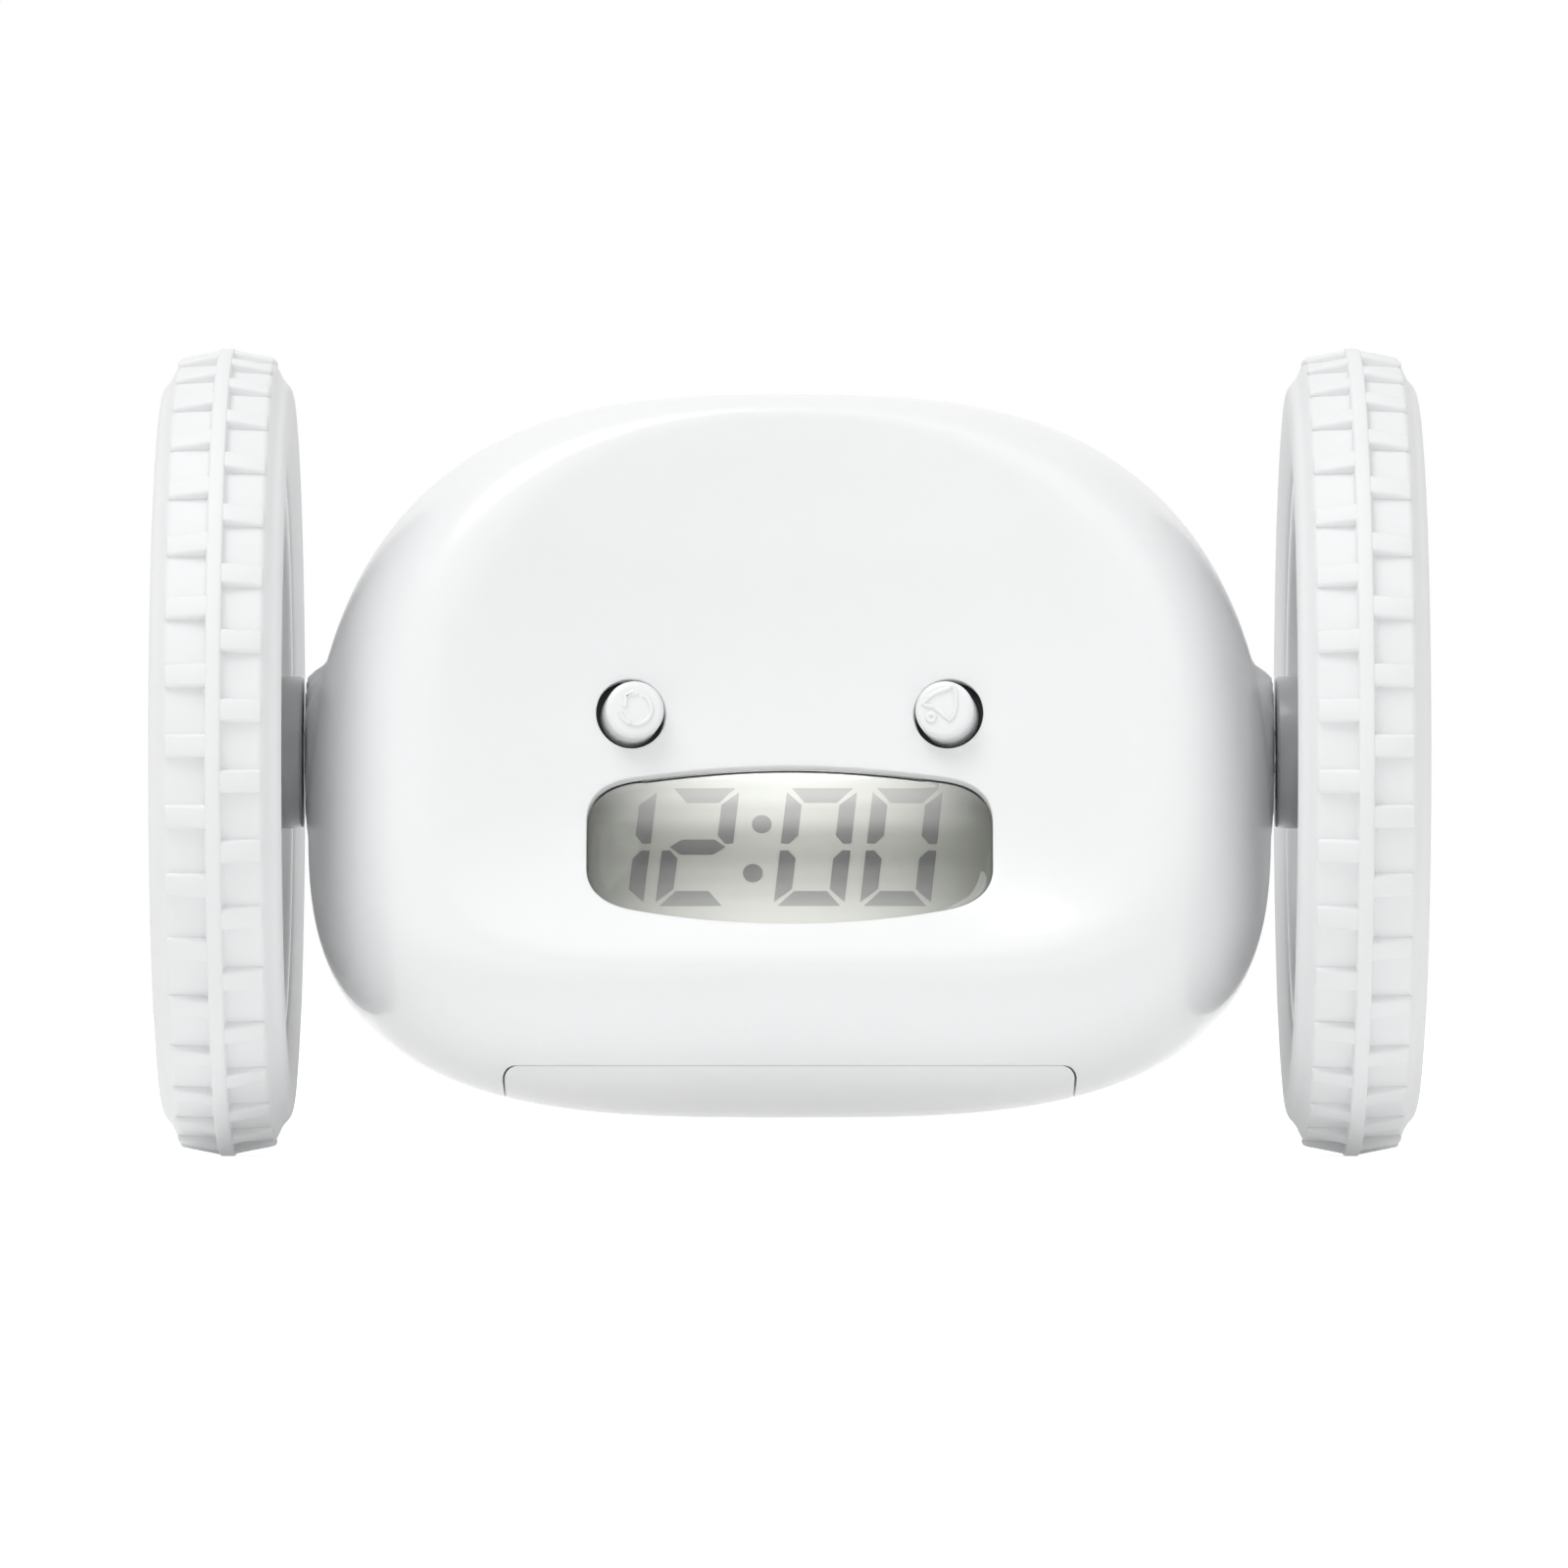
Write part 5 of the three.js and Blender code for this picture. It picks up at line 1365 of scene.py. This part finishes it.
def hub_cap():
    low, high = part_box("right_hub_cap")
    foot, crown = low.x - WHEEL_CENTRE, high.x - WHEEL_CENTRE
    inner, outer, top, wall = 0.0075, 0.0106, 0.0058, 0.0012
    profile = [
        (0, crown - wall), (inner, crown - wall), (inner, foot), (outer, foot), (outer, foot + wall),
        (inner, crown - 0.0003), (top, crown), (0, crown)]
    roundings = [(3, 0.0003, 3), (4, 0.0004, 3), (5, 0.0006, 5), (6, 0.0008, 5)]
    return turned("hub_cap", profile, 96, roundings)


def drive_collar():
    low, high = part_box("right_drive_collar")
    inner, outer = low.x - WHEEL_CENTRE, high.x - WHEEL_CENTRE
    radius = 0.0082
    profile = [(BUSH_BORE, inner), (radius, inner), (radius, outer), (BUSH_BORE, outer)]
    return turned("collar", profile, 96, [(1, 0.0004, 4), (2, 0.0004, 4)])


# The display's frame takes the display's finish with its painted reflection, so that its lip shows no dark shade
NODE_FINISHES = {
    "display_panel": "display_finish", "display_frame": "display_finish", "main_board": "board_green_finish",
    "rear_board": "board_green_finish", "switch": "dark_plastic_finish", "buzzer": "dark_plastic_finish",
    "battery_tray": "pale_nylon_finish", "battery_": "cell_wrap_finish", "contact": "steel_finish",
    "gearbox": "pale_nylon_finish", "pinion": "brass_finish", "gear_pin": "steel_finish", "motor": "steel_finish",
    "bush": "brass_finish", "gear": "pale_nylon_finish", "axle": "steel_finish", "screw": "steel_finish",
}


class AddFinishes(bpy.types.Operator):
    """Gives every carried-over part its finish"""
    bl_idname = "clock.add_finishes"
    bl_label = "Finishes of the inner parts"

    def execute(self, context):
        for name, node in frame["nodes"].items():
            if node.hide_render:
                continue
            found = [finish for key, finish in NODE_FINISHES.items() if key in name]
            if not found:
                raise RuntimeError(f"no finish for {name}")
            for slot in node.material_slots:
                slot.material = finishes()[found[0]]
        return {"FINISHED"}


# Name, place, size and power
LAMPS = (("key", (-0.7, -0.8, 1.9), 1.3, 16.5), ("fill", (1.0, -1.3, 1.7), 1.8, 5.0))
SKY_FRONT, SKY_SIDE, SIDE_FROM = 0.78, 0.45, 0.6  # light from ahead and from the sides
FLOOR_LIGHT, FLOOR_SEEN = 0.12, 0.7  # glow that lights the clock, and glow that is seen


class AddStage(bpy.types.Operator):
    """Adds the floor, the lamps, the surroundings and the camera"""
    bl_idname = "clock.add_stage"
    bl_label = "Floor, lamps and camera"

    def execute(self, context):
        scene = context.scene
        stage = scene.clock_stage
        choose()
        bpy.ops.mesh.primitive_circle_add(vertices=96, radius=6, fill_type="NGON")
        floor = context.object
        floor.name = "floor"
        floor.data.materials.append(floor_material())

        for lamp in LAMPS:
            add_lamp(*lamp)

        world = bpy.data.worlds.new("Surroundings")
        scene.world = world
        world.use_nodes = True
        tree = world.node_tree
        background = tree.nodes["Background"]
        background.inputs["Color"].default_value = (1, 1, 1, 1)
        around = tree.nodes.new("ShaderNodeTexCoord").outputs["Generated"]
        side = add_node(tree, "ShaderNodeSeparateXYZ", Vector=around).outputs["X"]
        level = add_node(
            tree, "ShaderNodeMapRange", i0=calc(tree, "MULTIPLY", side, side), i1=0.0, i2=SIDE_FROM,
            i3=SKY_FRONT, i4=SKY_SIDE)
        strength = add_node(tree, "ShaderNodeMix", i0=seen_directly(tree), i2=level.outputs[0], i3=1.0)
        tree.links.new(strength.outputs[0], background.inputs["Strength"])

        data = bpy.data.cameras.new("camera")
        data.lens = stage.lens
        data.sensor_width = 36
        data.clip_start, data.clip_end = 0.05, 20
        camera = bpy.data.objects.new("camera", data)
        scene.collection.objects.link(camera)
        aim = AXLE + Vector((stage.aim_side, 0, stage.aim_drop))
        back = Vector((
            math.sin(stage.azimuth) * math.cos(stage.elevation),
            -math.cos(stage.azimuth) * math.cos(stage.elevation), math.sin(stage.elevation)))
        camera.location = aim + back * stage.distance
        camera.rotation_mode = "QUATERNION"
        camera.rotation_quaternion = (-back).to_track_quat("-Z", "Y")
        scene.camera = camera
        scene.view_settings.view_transform = "Standard"
        return {"FINISHED"}


def seen_directly(tree):
    """1 for what the camera sees itself, in a reflection or through glass, and 0 for what lights the object."""
    rays = tree.nodes.new("ShaderNodeLightPath").outputs
    most = calc(tree, "MAXIMUM", rays["Is Camera Ray"], rays["Is Transmission Ray"])
    return calc(tree, "MAXIMUM", most, rays["Is Glossy Ray"])


def floor_material():
    material, tree, shader = new_material("floor_finish")
    pale = bpy.context.scene.clock_colours.floor
    noise = add_node(tree, "ShaderNodeTexNoise", Vector=object_place(tree), Scale=30.0)
    tint = blended(tree, noise.outputs[0], [c * 0.99 for c in pale], pale)
    tree.links.new(tint, shader.inputs["Base Color"])
    shader.inputs["Roughness"].default_value = 0.9
    shader.inputs["Specular IOR Level"].default_value = 0.0
    shader.inputs["Emission Color"].default_value = (1, 1, 1, 1)
    glow = add_node(tree, "ShaderNodeMapRange", i0=seen_directly(tree), i3=FLOOR_LIGHT, i4=FLOOR_SEEN)
    tree.links.new(glow.outputs[0], shader.inputs["Emission Strength"])
    return material


def add_lamp(name, location, size, power):
    data = bpy.data.lights.new(name, "AREA")
    data.shape = "DISK"
    data.size = size
    data.energy = power
    lamp = bpy.data.objects.new(name, data)
    bpy.context.scene.collection.objects.link(lamp)
    lamp.location = location
    lamp.rotation_mode = "QUATERNION"
    lamp.rotation_quaternion = (AXLE - Vector(location)).to_track_quat("-Z", "Y")


OPERATORS = (
    AddCasing, AddBatteryDoor, AddWindow, AddButtons, AddBackControls, AddWheels, AddFinishes, AddStage)


class ClockPanel(bpy.types.Panel):
    bl_idname = "VIEW3D_PT_alarm_clock"
    bl_label = "Alarm clock"
    bl_space_type = "VIEW_3D"
    bl_region_type = "UI"
    bl_category = "Alarm clock"

    def draw(self, context):
        for operator in OPERATORS:
            self.layout.operator(operator.bl_idname)
        for name, group in GROUPS.items():
            box = self.layout.box()
            box.label(text=group.__name__)
            for key in group.__annotations__:
                box.prop(getattr(context.scene, name), key)


def register():
    for name, group in GROUPS.items():
        bpy.utils.register_class(group)
        setattr(bpy.types.Scene, name, PointerProperty(type=group))
    for operator in OPERATORS:
        bpy.utils.register_class(operator)
    bpy.utils.register_class(ClockPanel)


def unregister():
    bpy.utils.unregister_class(ClockPanel)
    for operator in reversed(OPERATORS):
        bpy.utils.unregister_class(operator)
    for name, group in GROUPS.items():
        delattr(bpy.types.Scene, name)
        bpy.utils.unregister_class(group)


def main():
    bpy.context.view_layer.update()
    register()
    bpy.ops.clock.add_casing()
    bpy.ops.clock.add_battery_door()
    bpy.ops.clock.add_window()
    bpy.ops.clock.add_buttons()
    bpy.ops.clock.add_back_controls()
    bpy.ops.clock.add_wheels()
    bpy.ops.clock.add_finishes()
    bpy.ops.clock.add_stage()


if __name__ == "__main__":
    main()
